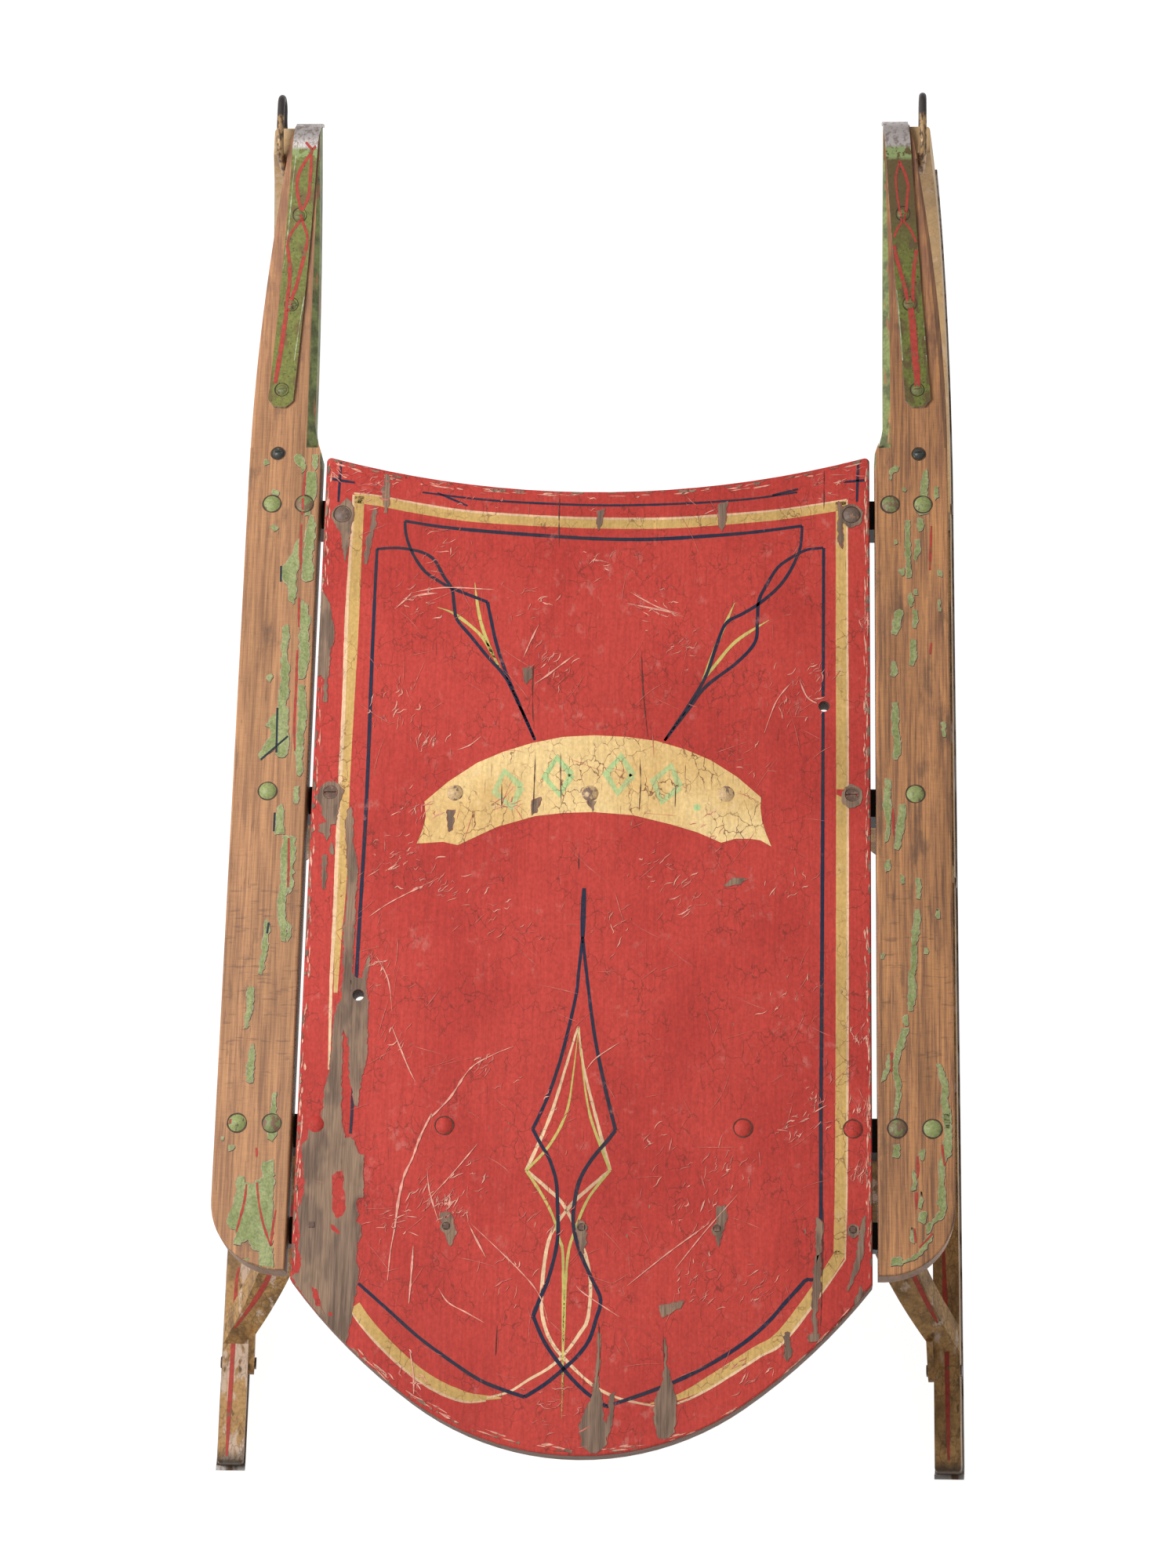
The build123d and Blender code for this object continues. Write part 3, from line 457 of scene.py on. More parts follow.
GREEN_FLAKES_LEFT = [
    [
        (-197.7, 203.1), (-195.8, 204.6), (-193.4, 204.6), (-191, 200.1), (-190.2, 194.2),
        (-191.8, 191.9), (-193, 195.7), (-196.2, 198.7)
    ],
    [
        (-189, 191.9), (-183.5, 192.4), (-182.1, 185.3), (-182.8, 176.3), (-185, 168.9),
        (-186.3, 162.3), (-189.4, 162.3), (-189.1, 174.8), (-188.9, 183.8)
    ],
    [(-185.4, 204.6), (-182, 204.6), (-182.1, 197.2), (-183.9, 194.2), (-185.4, 198.7)],
    [
        (-185.7, 162.3), (-183.6, 161.5), (-181.8, 152.7), (-182.5, 142.3), (-183.1, 133.5),
        (-182, 124.7), (-181.5, 118.9), (-183, 116), (-187, 115.2), (-188.8, 117.4), (-188.9, 127.6),
        (-188.2, 142.3), (-187.4, 154.1), (-186.1, 157.1)
    ],
    [
        (-190.9, 148.2), (-191.5, 139.4), (-191.1, 130.6), (-191.6, 126.2), (-192.7, 120.3),
        (-192.4, 113), (-192.5, 104.3), (-193.8, 99.6), (-196.7, 102.8), (-196.9, 108.6),
        (-198.6, 114.5), (-201.4, 117.4), (-202.2, 125.4), (-198.5, 129.1), (-196.1, 135),
        (-193.1, 143.8)
    ],
    [
        (-188.1, 102.8), (-184.9, 98.5), (-183.2, 89.7), (-183.6, 83.9), (-182.9, 76.7),
        (-182.1, 65.1), (-183.1, 56.5), (-184.4, 49.3), (-187.5, 48.6), (-188.3, 57.9),
        (-188.5, 72.3), (-188.4, 83.9), (-189.4, 92.6), (-188.8, 99.9)
    ],
    [
        (-199.3, 84.6), (-196.6, 85.1), (-195.7, 81), (-196.3, 72.3), (-196.3, 63.7), (-194.5, 55),
        (-194.8, 46.4), (-193.8, 39.2), (-195.5, 30.6), (-193.9, 26.4), (-193.1, 13.5),
        (-192.6, 3.6), (-194.5, -4.9), (-197.9, -4.9), (-200, -2.1), (-199.5, 2.1), (-202.1, 0.7),
        (-206, -2.1), (-209.9, -6.4), (-210.7, -3.6), (-207.6, 3.5), (-203.9, 10.6), (-204.4, 14.9),
        (-206.9, 16.3), (-203.2, 23.5), (-201.2, 24.9), (-200.3, 33.5), (-199.4, 43.5),
        (-199.1, 57.9), (-199.8, 72.3)
    ],
    [
        (-187.7, 43.6), (-184.2, 44.3), (-182.7, 32.1), (-181.7, 23.6), (-183.1, 10.7),
        (-183.5, 3.6), (-183.8, -4.9), (-183, -13.4), (-184.6, -17.6), (-186.7, -14.8),
        (-187.5, -3.5), (-187.3, 3.6), (-187, 15), (-187.3, 29.2)
    ],
    [(-217.6, 200.9), (-214.8, 200.9), (-214.1, 198.6), (-216.8, 197.4)],
    [(-210.4, 179.3), (-207, 179.3), (-207.2, 175.6), (-210.3, 176.3)],
    [(-210.6, 153.4), (-208.6, 154.8), (-206.2, 152.6), (-208.4, 150.8)],
    [(-208.5, 51.4), (-205.8, 51.4), (-204.7, 49.2), (-206.3, 46.6), (-208.7, 48.5)],
    [(-187.4, -25.1), (-184.9, -24.7), (-184.8, -35.4), (-187.2, -35.9)],
    [(-197.9, -39.2), (-195.2, -36.9), (-193.7, -39.1), (-193, -56), (-197.8, -56), (-198.3, -46.5)],
    [
        (-193.1, -58.2), (-190.4, -57.4), (-189.7, -66.9), (-189.7, -81.5), (-189.2, -93.1),
        (-189.9, -98.9), (-190.1, -104.7), (-188.2, -116.2), (-188.6, -127), (-190.4, -127),
        (-191.5, -119.1), (-193.4, -113.4), (-194.6, -104.7), (-193.7, -94.6), (-193.3, -84.4),
        (-193.4, -69.9)
    ],
    [
        (-188.7, -57.4), (-185.8, -59.6), (-185.2, -66.9), (-185.6, -81.5), (-185.9, -90.2),
        (-187.7, -96), (-188.2, -94.5), (-187.1, -87.3), (-188, -74.2)
    ],
    [
        (-187.6, -113.3), (-186.1, -116.2), (-185.8, -121.9), (-187, -126.5), (-187.8, -124.8),
        (-187.3, -119.1)
    ],
    [
        (-201.5, -112.7), (-199.3, -114.1), (-199.1, -117.7), (-199.8, -123.5), (-199.9, -132.1),
        (-200.9, -139.3), (-202.5, -148.6), (-204.6, -147.9), (-203.7, -139.3), (-203.4, -130.7),
        (-202.3, -123.5), (-202.3, -116.3)
    ],
    [
        (-210.3, -157.9), (-207.6, -157.2), (-207.1, -162.1), (-207.3, -169.2), (-208.7, -177.8),
        (-209.8, -183.4), (-211.2, -183.4), (-211.1, -176.4), (-210.4, -170.7), (-210.7, -163.6)
    ],
    [
        (-206.9, -194.7), (-205.2, -194), (-204.2, -200.3), (-204.6, -206), (-205, -217.2),
        (-208.5, -217.9), (-208.5, -210.2), (-207.9, -203.2)
    ],
    [
        (-192.1, -224.8), (-190.1, -224.1), (-190.1, -233.8), (-188.6, -240.8), (-188.6, -247.5),
        (-188.8, -251.9), (-191.4, -255.4), (-193.8, -252), (-194.9, -247.5), (-194.8, -239.5),
        (-192.3, -235.3)
    ],
    [(-218.1, -258), (-214.7, -257.9), (-214.6, -260), (-216.6, -261.1)],
    [
        (-212.2, -280), (-211, -278.7), (-207.6, -277.2), (-206.5, -279.3), (-206.7, -282.1),
        (-202.6, -282.7), (-199.9, -282.7), (-199.4, -279.9), (-196.7, -280.6), (-195.5, -276.4),
        (-196.6, -268.2), (-189.8, -267.4), (-189, -279.1), (-189, -299.7), (-188.1, -318.9),
        (-186.7, -334.5), (-195.5, -333.9), (-195.7, -323), (-199.4, -322.7), (-201.6, -319),
        (-202.4, -316.6), (-206.3, -317.7), (-208.3, -320.1), (-211.6, -319.4), (-210.6, -314.3),
        (-211.4, -310.2), (-215.5, -308.9), (-215.9, -301.4), (-214, -300), (-213.2, -295.2),
        (-212.4, -290.4), (-211.3, -286.2)
    ],
    [(-205.4, -329.3), (-202.5, -328.5), (-201.7, -330.2), (-205, -331.6)],
    [(-221.8, -252.5), (-220.7, -252.8), (-220.8, -254.5), (-221.5, -254.2)]
]
GREEN_FLAKES_RIGHT = [
    [
        (189.9, 194.5), (192.6, 197.5), (195.3, 196), (194.7, 193.8), (191.3, 192.3), (190.1, 187.1),
        (189.6, 191.6)
    ],
    [
        (210.9, 191.6), (212.9, 194.5), (214.3, 190.1), (213.5, 175.3), (214.1, 170.9),
        (213.4, 163.6), (208.6, 162.8), (206, 166.5), (206, 173.1), (208.7, 175.3)
    ],
    [(218.9, 182.7), (220.3, 182), (220.2, 175.4), (218.2, 173.1), (217.7, 176.8)],
    [
        (199.8, 159.2), (202.1, 158.4), (202.4, 146), (202, 135.8), (202.9, 119.7), (200.2, 119.7),
        (199.3, 134.3), (199.1, 146)
    ],
    [(207.9, 160.6), (210.6, 159.9), (210.6, 153.3), (208.5, 151.5), (207.2, 154.8)],
    [(206.5, 144.5), (208.5, 145.3), (208.2, 137.2), (206.4, 130.7), (204.8, 132.8), (206, 138.7)],
    [(195.6, 124.1), (198.3, 124.8), (198.2, 120.5), (196, 120.5)],
    [(201.8, 108.1), (203.5, 108.2), (203.5, 99.5), (201.7, 98.7), (200.9, 103.8)],
    [(204.9, 111.1), (206.9, 111.1), (206.6, 107.4), (204.7, 107.4)],
    [
        (192.7, 95.1), (195.4, 97.3), (197.1, 96.6), (195.3, 85), (192.6, 79.3), (190.4, 80.7),
        (191.3, 89.3)
    ],
    [(204.1, 96.6), (206.1, 95.9), (206.7, 89.4), (205.3, 84.3), (203.3, 85.1), (204.1, 90.8)],
    [(201.9, 76.4), (205, 76.4), (205.5, 65), (203.8, 58.5), (201.4, 59.2), (202.3, 67.8)],
    [(189.9, 61.3), (191.8, 60.6), (193.1, 54.9), (191.8, 51.3), (189.8, 52.1), (190.2, 56.3)],
    [
        (191, 32.8), (193.7, 33.6), (194, 25.1), (193.6, 15.1), (195.5, 6.7), (194.8, -0.4),
        (192.1, -5.3), (190.2, -2.5), (191.8, 5.3), (190.9, 13.7), (190, 23.6)
    ],
    [(219.9, 103.9), (220.9, 103.9), (220.9, 95.2), (220, 95.2)],
    [(221.1, 124.1), (222.4, 122.7), (222.4, 120.1), (220.4, 120.5)],
    [(221.4, 20.9), (223.1, 20.2), (223.3, 11), (221.7, 10.3)],
    [(192.3, 145.2), (193.7, 144.5), (193.4, 141.9), (192.3, 142.3)],
    [(198, 182), (200, 180.5), (199.3, 178.6), (197.7, 179.8)],
    [
        (186, -17.4), (188.4, -18.2), (189, -35.7), (188.3, -50.3), (186.8, -57.6), (185.5, -59.8),
        (185.5, -56.1), (186.9, -47.4), (184.9, -38.7), (185, -24)
    ],
    [
        (194.5, -35), (198, -34.2), (198.2, -41.5), (196.5, -50.2), (195.1, -59), (193.7, -64.1),
        (191.6, -64.1), (191.7, -56.1), (193.1, -45.9)
    ],
    [(186.1, -71.3), (188.1, -71.3), (187.8, -77.8), (185.6, -79.3), (185.4, -75.7)],
    [(194.9, -81.4), (196.6, -82.1), (197, -86.4), (194.9, -86.4)],
    [(204.5, -83.5), (207, -83.8), (207.2, -92.1), (206, -97.2), (204.1, -96.5), (204.7, -89.3)],
    [(217.3, -103.5), (218.6, -105), (218.6, -109.3), (216.8, -110)],
    [
        (203.7, -103.6), (206, -103.6), (206.7, -110.8), (205.6, -119.4), (204.2, -126.5),
        (204.4, -136.5), (202.7, -146.4), (203.2, -159.1), (201.8, -169), (198.7, -169),
        (199.9, -157.7), (199.7, -147.8), (201.6, -136.5), (201.2, -125.1), (202.9, -113.7)
    ],
    [(196.8, -173.3), (198.4, -172.6), (198.4, -177.5), (196.3, -178.9)],
    [
        (195, -181), (198.4, -181), (196.3, -190.1), (193.5, -197.1), (192.1, -208.3),
        (193.4, -212.5), (194.1, -220.8), (193.3, -229.2), (191.3, -234.7), (189.9, -244.1),
        (190.6, -231.9), (192, -223.6), (190.7, -215.3), (189.4, -206.9), (190.9, -194.4),
        (193.6, -185.9)
    ],
    [
        (186.1, -197.9), (187.5, -197.2), (187.2, -205.6), (184.7, -212.6), (182.7, -214.7),
        (182.7, -211.2), (185.4, -205.6)
    ],
    [
        (216.4, -203.2), (219.1, -203.2), (221, -208.1), (222.9, -217.8), (222.5, -224.7),
        (223.5, -231.7), (224, -243.8), (220.7, -243.9), (220.1, -234.5), (218.8, -227.6),
        (219.6, -217.8), (217.7, -209.5)
    ],
    [(209.6, -129.3), (211.2, -129.6), (210.9, -132.1), (209.6, -131.9)],
    [(182.4, -133), (184.4, -132.3), (184.1, -135.9), (182.6, -135.5)],
    [(189.8, -253.8), (192.7, -253.8), (193.4, -259.8), (192, -262.8), (189.4, -261.3)],
    [(205.8, -256.7), (207.7, -256.7), (207.2, -264.2), (205.1, -262.7)],
    [(201.4, -270.2), (203.2, -273.2), (202.7, -282.1), (200.6, -282.9)],
    [(205.6, -283.6), (207, -288.1), (206, -294), (204.5, -293.3)],
    [(205.5, -297), (208.9, -295.5), (207.6, -303.6), (205.1, -301.4)],
    [
        (219.2, -234), (224.3, -234), (224.9, -249), (224, -259.5), (221.1, -262.6), (220.2, -273),
        (219.7, -283.5), (220.8, -290.9), (219.3, -298.3), (213.4, -302.8), (209.8, -308.8),
        (208.3, -305.8), (214.9, -298.4), (217.9, -293.9), (215.7, -290.9), (216.6, -279),
        (217.4, -267.1), (219.7, -256.6), (221.2, -246)
    ],
    [
        (207.6, -313.2), (211.9, -308.8), (212.7, -310.2), (209, -317.7), (203.1, -323.6),
        (194.5, -328.4), (187.5, -328.5), (188, -324.5), (193, -323.4), (193.7, -326.7),
        (198.8, -324.4), (204.6, -320.6)
    ],
    [(200.4, -305.2), (201.8, -308.9), (201, -314.8), (199.2, -311.8)]
]
RED_LINES_LEFT = [
    [(-189.9, 194.2), (-190.4, 179.3), (-190.7, 162.2)],
    [(-190.8, 155.6), (-190.9, 137.9), (-189.9, 124)],
    [(-190, 104.3), (-189.5, 83.9)],
    [(-189.7, 68), (-189.4, 40.7), (-189.4, 15), (-188.3, -0.6)],
    [(-189.5, -58.9), (-188.9, -77.1), (-188.6, -91.6)],
    [(-205.4, -282.4), (-206.2, -293.1), (-208.4, -304), (-210.3, -312.3)],
    [(-199, -281.3), (-197.4, -293), (-194.1, -306.6), (-188.7, -320.9)],
    [(-188.7, -320.6), (-188, -307.9), (-186.7, -298.4)],
    [(-200.5, -259.5), (-200.1, -262.3), (-200.1, -265.1)]
]
RED_LINES_RIGHT = [
    [(216, 154.8), (215.4, 138.7), (214.8, 124.1)],
    [(215.3, 74.3), (214.5, 66.4)],
    [(188.6, -195.8), (188.5, -208.3)],
    [(190, -37.2), (190.5, -45.9), (190.7, -55.4)],
    [(203.9, -261.2), (204.2, -268.7), (203.8, -274.7)],
    [(203.2, -283.6), (203.1, -294)],
    [(219, -253.6), (220.3, -267.1)],
    [(201.8, -305.9), (202.5, -314.8)],
    [(212.7, -308.8), (209, -313.2), (204.6, -317.7)]
]
DARK_LINES_LEFT = [
    [(-202.8, 126.2), (-202.5, 115.2)],
    [(-200.7, 28.5), (-200, -1.8)],
    [(-193.1, 9.3), (-209.8, -6.7)],
    [(-199.2, -42.1), (-199.2, -54.6)],
    [(-199.6, -114.8), (-200.3, -122)]
]

f = Finish("rail_green")
green = f.blend(f.step(f.cloud((5, 14, 5), detail=4.0), 0.40, 0.62), GREEN, (0.34, 0.37, 0.16))
green = f.shade(green, f.cloud(1.4, detail=4.0), 0.72, 1.22)
green = f.blend(f.both(f.cracks((5, 9, 5), 0.05), 0.22), green, (0.09, 0.09, 0.04))
rail_green = f.done(green, rough=0.5, relief=f.cloud(1.2), depth=0.15, gloss=0.3)
flake_edge = plain_paint("flake_edge", FLAKE_EDGE, patchy=1.6)
dark_line = plain_paint("dark_line", (0.022, 0.032, 0.040))
# dark outlines round heads, and also the painted shadow beside each rail flake
dark_outline_and_shadow = plain_paint("dark_outline_and_shadow", OUTLINE, patchy=1.6)

for side, flakes, red_lines in (("left", GREEN_FLAKES_LEFT, RED_LINES_LEFT),
                                ("right", GREEN_FLAKES_RIGHT, RED_LINES_RIGHT)):
    wood = skin_of("rail_" + side)
    shadow, edge = Coat(wood, lift=0.03), Coat(wood, lift=0.06)
    paint, red = Coat(wood, lift=0.10), Coat(wood, lift=0.14)
    for number, flake in enumerate(flakes):
        torn = roughened(flake, 1.3, seed=number * 3.1)
        loop = torn + [torn[0]]
        # each flake casts a painted shadow, shifted a little to the right and towards the tail
        shadow.stroke([(x + 0.25, y - 0.35) for x, y in loop], 1.1, smooth=False, waver=0.8)
        edge.stroke(loop, 0.9, smooth=False, waver=1.2)
        paint.patch(torn)
    for line in red_lines:
        red.stroke(line, 1.5, ends=(0.7, 0.7), gap=2.0, waver=0.5)
    shadow.make("rail_flake_shadow_" + side, dark_outline_and_shadow, "rail_wood")
    edge.make("rail_flake_edge_" + side, flake_edge, "rail_wood")
    paint.make("rail_flakes_" + side, rail_green, "rail_wood")
    red.make("rail_red_lines_" + side, stripe_red, "rail_wood")
dark = Coat(skin_of("rail_left"), lift=0.16)
for line in DARK_LINES_LEFT:
    dark.stroke(line, 1.3)
dark.make("rail_dark_lines", dark_line, "rail_wood")

# ---------------------------------------------------------------- nose straps
# Flat iron straps screwed along the top of each horn and bent down over its tip.
# Painted green with red striping that opens round the screws; the tip is worn to bare iron. Pale lines along
# the edges are painted highlights.
FRONT_GRIME = {1: (0.33, 0.37), -1: (0.40, 0.50)}   # grime covers the strap from here on, by side
FRESH_FROM, FRESH_TO = 0.398, 0.401     # a last bit of clean green before the tip
TIP_FROM, TIP_TO = 0.4055, 0.4085       # bare iron


def strap_finish(name, side, green, brown, share):
    """Green paint that turns brown where grime lies; side is -1 left and 1 right."""
    f = Finish(name)
    paint = f.shade(green, f.cloud(2.0, detail=4.0, shift=(side, 0, 0)), 0.70, 1.30)
    grime = f.step(f.cloud((6, 16, 6), detail=5.0, shift=(side * 3, 1, 0)), share, share + 0.14)
    front = f.step(f.axis("Y"), *FRONT_GRIME[side])
    paint = f.blend(f.both(f.either(grime, front), 0.8), paint, brown)
    specks = f.step(f.cloud(1.8, detail=4.0, shift=(8, side, 1)), 0.62, 0.68)
    paint = f.blend(f.both(specks, 0.75), paint, (0.035, 0.03, 0.02))
    fresh = f.both(f.step(f.axis("Y"), FRESH_FROM, FRESH_TO),
                   f.step(f.cloud(4, shift=(side, 3, 3)), 0.42, 0.50))
    paint = f.blend(f.both(fresh, 0.8), paint, (0.30, 0.40, 0.16))
    bare = f.either(f.step(f.axis("Y"), TIP_FROM, TIP_TO), f.step(f.axis("Z", f.facing), 0.55, 0.3))
    worn = f.step(f.cloud((3, 3, 6), detail=4.0), 0.45, 0.62)
    steel = f.blend(worn, (0.52, 0.47, 0.45), (0.30, 0.24, 0.22))
    body = f.blend(bare, paint, steel)
    rough = f.calc("SUBTRACT", 0.52, f.both(bare, 0.12))
    return f.done(body, rough=rough, relief=f.cloud(1.4, detail=4.0), depth=0.2,
                  metal=f.both(bare, 0.45), gloss=0.28)


dress(strap_finish("strap_paint_left", -1, green=(0.185, 0.195, 0.045), brown=(0.16, 0.105, 0.038),
                   share=0.50), "nose_strap_left")
dress(strap_finish("strap_paint_right", 1, green=(0.155, 0.170, 0.038), brown=(0.12, 0.068, 0.035),
                   share=0.47), "nose_strap_right")

STRAP_SCREW_SPOTS = [(207.5, 249.4), (202.9, 307.4), (198.3, 365.4)]
SCREW_RIM_RADIUS, SCREW_RIM_WIDTH = 4.5, 0.6
SCREW_RIM = (0.045, 0.035, 0.02)
# a pale line along each strap edge, a painted highlight
EDGE_HIGHLIGHT = (0.36, 0.37, 0.22)
EDGE_HIGHLIGHT_WIDTH = 0.7
LINING_SHARE = 1.25          # every line is a quarter wider than its listed width
STRAP_LINES_LEFT = [
    (2.4, [
        (-212, 253.8), (-210.7, 264.1), (-209.1, 276.4), (-207.9, 286.6),
        (-206.7, 296.7), (-206.2, 303.7)
    ]),
    (1.9, [
        (-206.4, 302.7), (-205.9, 308.7), (-205.4, 313.7), (-204.6, 320.6),
        (-204.5, 330.5), (-205.3, 339.3), (-206.4, 346.1)
    ]),
    (1.4, [(-206.2, 346.1), (-205.3, 351.4), (-201.9, 356.6), (-198.5, 361.4), (-197.3, 365.2)]),
    (1.9, [
        (-205.2, 302.7), (-203.1, 309.7), (-201.7, 314.7), (-199.8, 319.6),
        (-198, 327.5), (-195.2, 338.3), (-193.1, 348)
    ]),
    (1.4, [(-193.1, 348), (-193, 351.3), (-194.6, 356.6), (-196.5, 361.4), (-197.3, 365.2)]),
    (1.7, [
        (-197.5, 368.1), (-198.6, 372.8), (-200.1, 380.3), (-200.1, 386.9),
        (-198.2, 393.4), (-194.7, 398.9), (-191.2, 403.9)
    ]),
    (1.7, [
        (-196.7, 368.1), (-193.1, 375.6), (-192, 381.2), (-191.5, 388.7),
        (-190.9, 398), (-190.9, 403.9)
    ]),
    (1.4, [(-190.2, 405.8), (-192.2, 408.1), (-194.5, 410.6)]),
    (1.4, [(-190.2, 405.8), (-187.8, 408), (-184.3, 408.9)]),
    (2.2, [(-190.9, 403.5), (-190.5, 405.8)])
]
STRAP_LINES_RIGHT = [
    (3.6, [
        (207.9, 249.6), (207.3, 261.9), (206.5, 269.3), (205.6, 281.2), (204.5, 296.3),
        (203.2, 306.3)
    ]),
    (1.9, [
        (201.7, 305.3), (200.8, 313.2), (198.8, 321.1), (196.3, 329.9), (193.9, 338.6),
        (192.1, 348.7)
    ]),
    (1.9, [
        (205.1, 305.3), (204.9, 313.2), (204.9, 318.1), (205.4, 327.9), (206.6, 337.6),
        (207.6, 346.3)
    ]),
    (1.2, [(192.4, 350.1), (194.8, 355.9), (198.2, 360.6)]),
    (1.2, [(207.1, 347.2), (203.6, 354.9), (199.7, 359.7)]),
    (1.5, [
        (198.7, 359.7), (200.5, 368.2), (201.1, 375.7), (201.6, 383.1), (199.1, 391.4),
        (195.6, 398.3)
    ]),
    (1.1, [(197.5, 360.6), (194.6, 376.6), (193.7, 388.7), (196.1, 397.9)])
]
STRAP_EDGES_LEFT = [
    [
        (-217.3, 269.5), (-214, 291.6), (-210.7, 320.6), (-208, 336.3), (-206.3, 351.8),
        (-204.5, 369), (-202.6, 389.7), (-199.7, 410.8)
    ],
    [(-200, 269.4), (-196.4, 299.7), (-192.5, 325.5), (-190.3, 343.1), (-188.4, 351.8)]
]
STRAP_EDGES_RIGHT = [
    [(198.2, 269.3), (195.4, 305.3), (192.9, 329.9), (190.9, 354.9), (188.9, 371.9)],
    [(213.8, 269.2), (212.4, 288.3), (210, 325.9), (207, 364.4), (203.9, 402.4)]
]
for side, lines, edges in (("left", STRAP_LINES_LEFT, STRAP_EDGES_LEFT),
                           ("right", STRAP_LINES_RIGHT, STRAP_EDGES_RIGHT)):
    lining = Coat(skin_of("nose_strap_" + side, "strap_screws_" + side), lift=0.12)
    for width, line in lines:
        lining.stroke(line, LINING_SHARE * width, ends=(0.8, 0.8), gap=2.0)
    lining.make("strap_lining_" + side, stripe_red, "strap_paint")
    rings = Coat(skin_of("nose_strap_" + side), lift=0.10)
    for x, y in STRAP_SCREW_SPOTS:
        rings.ring((x if side == "right" else -x, y), SCREW_RIM_RADIUS, SCREW_RIM_WIDTH)
    rings.make("strap_screw_rims_" + side, plain_paint("screw_rim_" + side, SCREW_RIM), "strap_paint")
    # pale lines along the strap edges are painted highlights
    edging = Coat(skin_of("nose_strap_" + side), lift=0.10)
    for line in edges:
        edging.stroke(line, EDGE_HIGHLIGHT_WIDTH, waver=1.3, gap=2.0)
    edging.make("strap_edge_highlight_" + side, plain_paint("strap_edge_" + side, EDGE_HIGHLIGHT, patchy=1.8),
                "strap_paint")

# ---------------------------------------------------------------- rope eyes
# Iron rod bent into a loop for a pull rope, with legs that grip the top of each runner.
# Ochre paint is left on the legs; the loop in front is dark and bare.
LOOP_FROM, LOOP_TO = 0.4255, 0.4285
f = Finish("eye_rod")
rod = f.blend(f.step(f.cloud((2, 5, 5), detail=4.0), 0.42, 0.60), (0.46, 0.29, 0.14), (0.10, 0.06, 0.035))
rod = f.blend(f.step(f.axis("Y"), LOOP_FROM, LOOP_TO), rod, (0.06, 0.048, 0.045))
dress(f.done(rod, rough=0.45, relief=f.cloud(1.2), depth=0.15, metal=0.35, gloss=0.45), "rope_eye")

# ---------------------------------------------------------------- deck
# One thin board with a hollow front edge and a round tail, pegged to the benches.
# Red paint over bare grey-brown wood, crackled along the grain and scratched all over.
RED = (0.54, 0.060, 0.046)
RED_DARK = (0.475, 0.047, 0.037)
BARE = (0.26, 0.172, 0.122)
BARE_DARK = (0.17, 0.115, 0.085)
OCHRE_BAND = (0.66, 0.42, 0.145)
CREAM = (0.84, 0.58, 0.35)
BANNER = (0.88, 0.63, 0.29)
BLUE = (0.020, 0.027, 0.058)
LEAF = (0.62, 0.51, 0.15)
MINT = (0.47, 0.66, 0.29)


def bare_board(f):
    """Weathered wood along the length of the board."""
    wood = f.blend(f.step(f.cloud((5, 60, 5), detail=5.0, rough=0.6), 0.40, 0.60), BARE_DARK, BARE)
    sunned = f.step(f.cloud((16, 34, 16), detail=3.0, shift=(6, 1, 3)), 0.46, 0.62)
    wood = f.blend(sunned, wood, (0.30, 0.20, 0.135))
    return f.shade(wood, f.cloud((0.9, 22, 4), detail=3.0), 0.72, 1.25)


def board_paint(name, coat, dark, chips=0.0, crackle=0.55, rub=(0.66, 0.24, 0.20)):
    """Old paint on the deck. Cracks and chips come from one pattern, so colours share them."""
    f = Finish(name)
    body = f.blend(f.step(f.cloud((60, 85, 60), detail=4.0), 0.40, 0.64), coat, dark)
    body = f.shade(body, f.cloud((1.6, 2.2, 2), detail=3.0), 0.86, 1.13)
    body = f.shade(body, f.cloud((1.4, 34, 4), detail=3.0, shift=(2, 5, 0)), 0.90, 1.08)
    rubbed = f.both(f.step(f.cloud((8, 11, 8), detail=6.0, rough=0.7, shift=(1, 7, 0)), 0.56, 0.70),
                    f.step(f.cloud((70, 60, 70), detail=2.0, shift=(3, 9, 0)), 0.42, 0.60))
    body = f.blend(f.both(rubbed, 0.38), body, rub)
    broken = f.step(f.cloud((24, 30, 24), detail=3.0, shift=(8, 2, 0)), 0.42, 0.60)
    fine = f.both(f.cracks((7.5, 11, 9), 0.035), broken)
    split = f.step(f.cloud((1.1, 30, 3), detail=2.0, shift=(5, 3, 0)), 0.690, 0.735)
    body = f.blend(f.both(f.either(fine, split), crackle), body, (0.13, 0.03, 0.022))
    pit = f.step(f.cloud((4.5, 20, 6), detail=4.0, shift=(1, 1, 5)), 0.735 - chips, 0.75 - chips)
    body = f.blend(pit, body, bare_board(f))
    side = f.step(f.axis("Z", f.facing), 0.62, 0.35)
    body = f.blend(side, body, f.shade((0.16, 0.085, 0.055), f.cloud((30, 30, 1.2), detail=3.0), 0.6, 1.4))
    rough = f.calc("ADD", 0.50, f.both(f.cloud(9), 0.18))
    return f.done(body, rough=rough, relief=f.cloud((1.6, 5, 2), detail=3.0), depth=0.12, gloss=0.17)


deck_red = board_paint("deck_red", RED, RED_DARK)
dress(deck_red, "deck")
f = Finish("bare_board")
bare_wood = f.done(bare_board(f), rough=0.8, relief=f.cloud((0.9, 22, 4), detail=3.0), depth=0.3, gloss=0.15)
deck_skin = skin_of("deck")

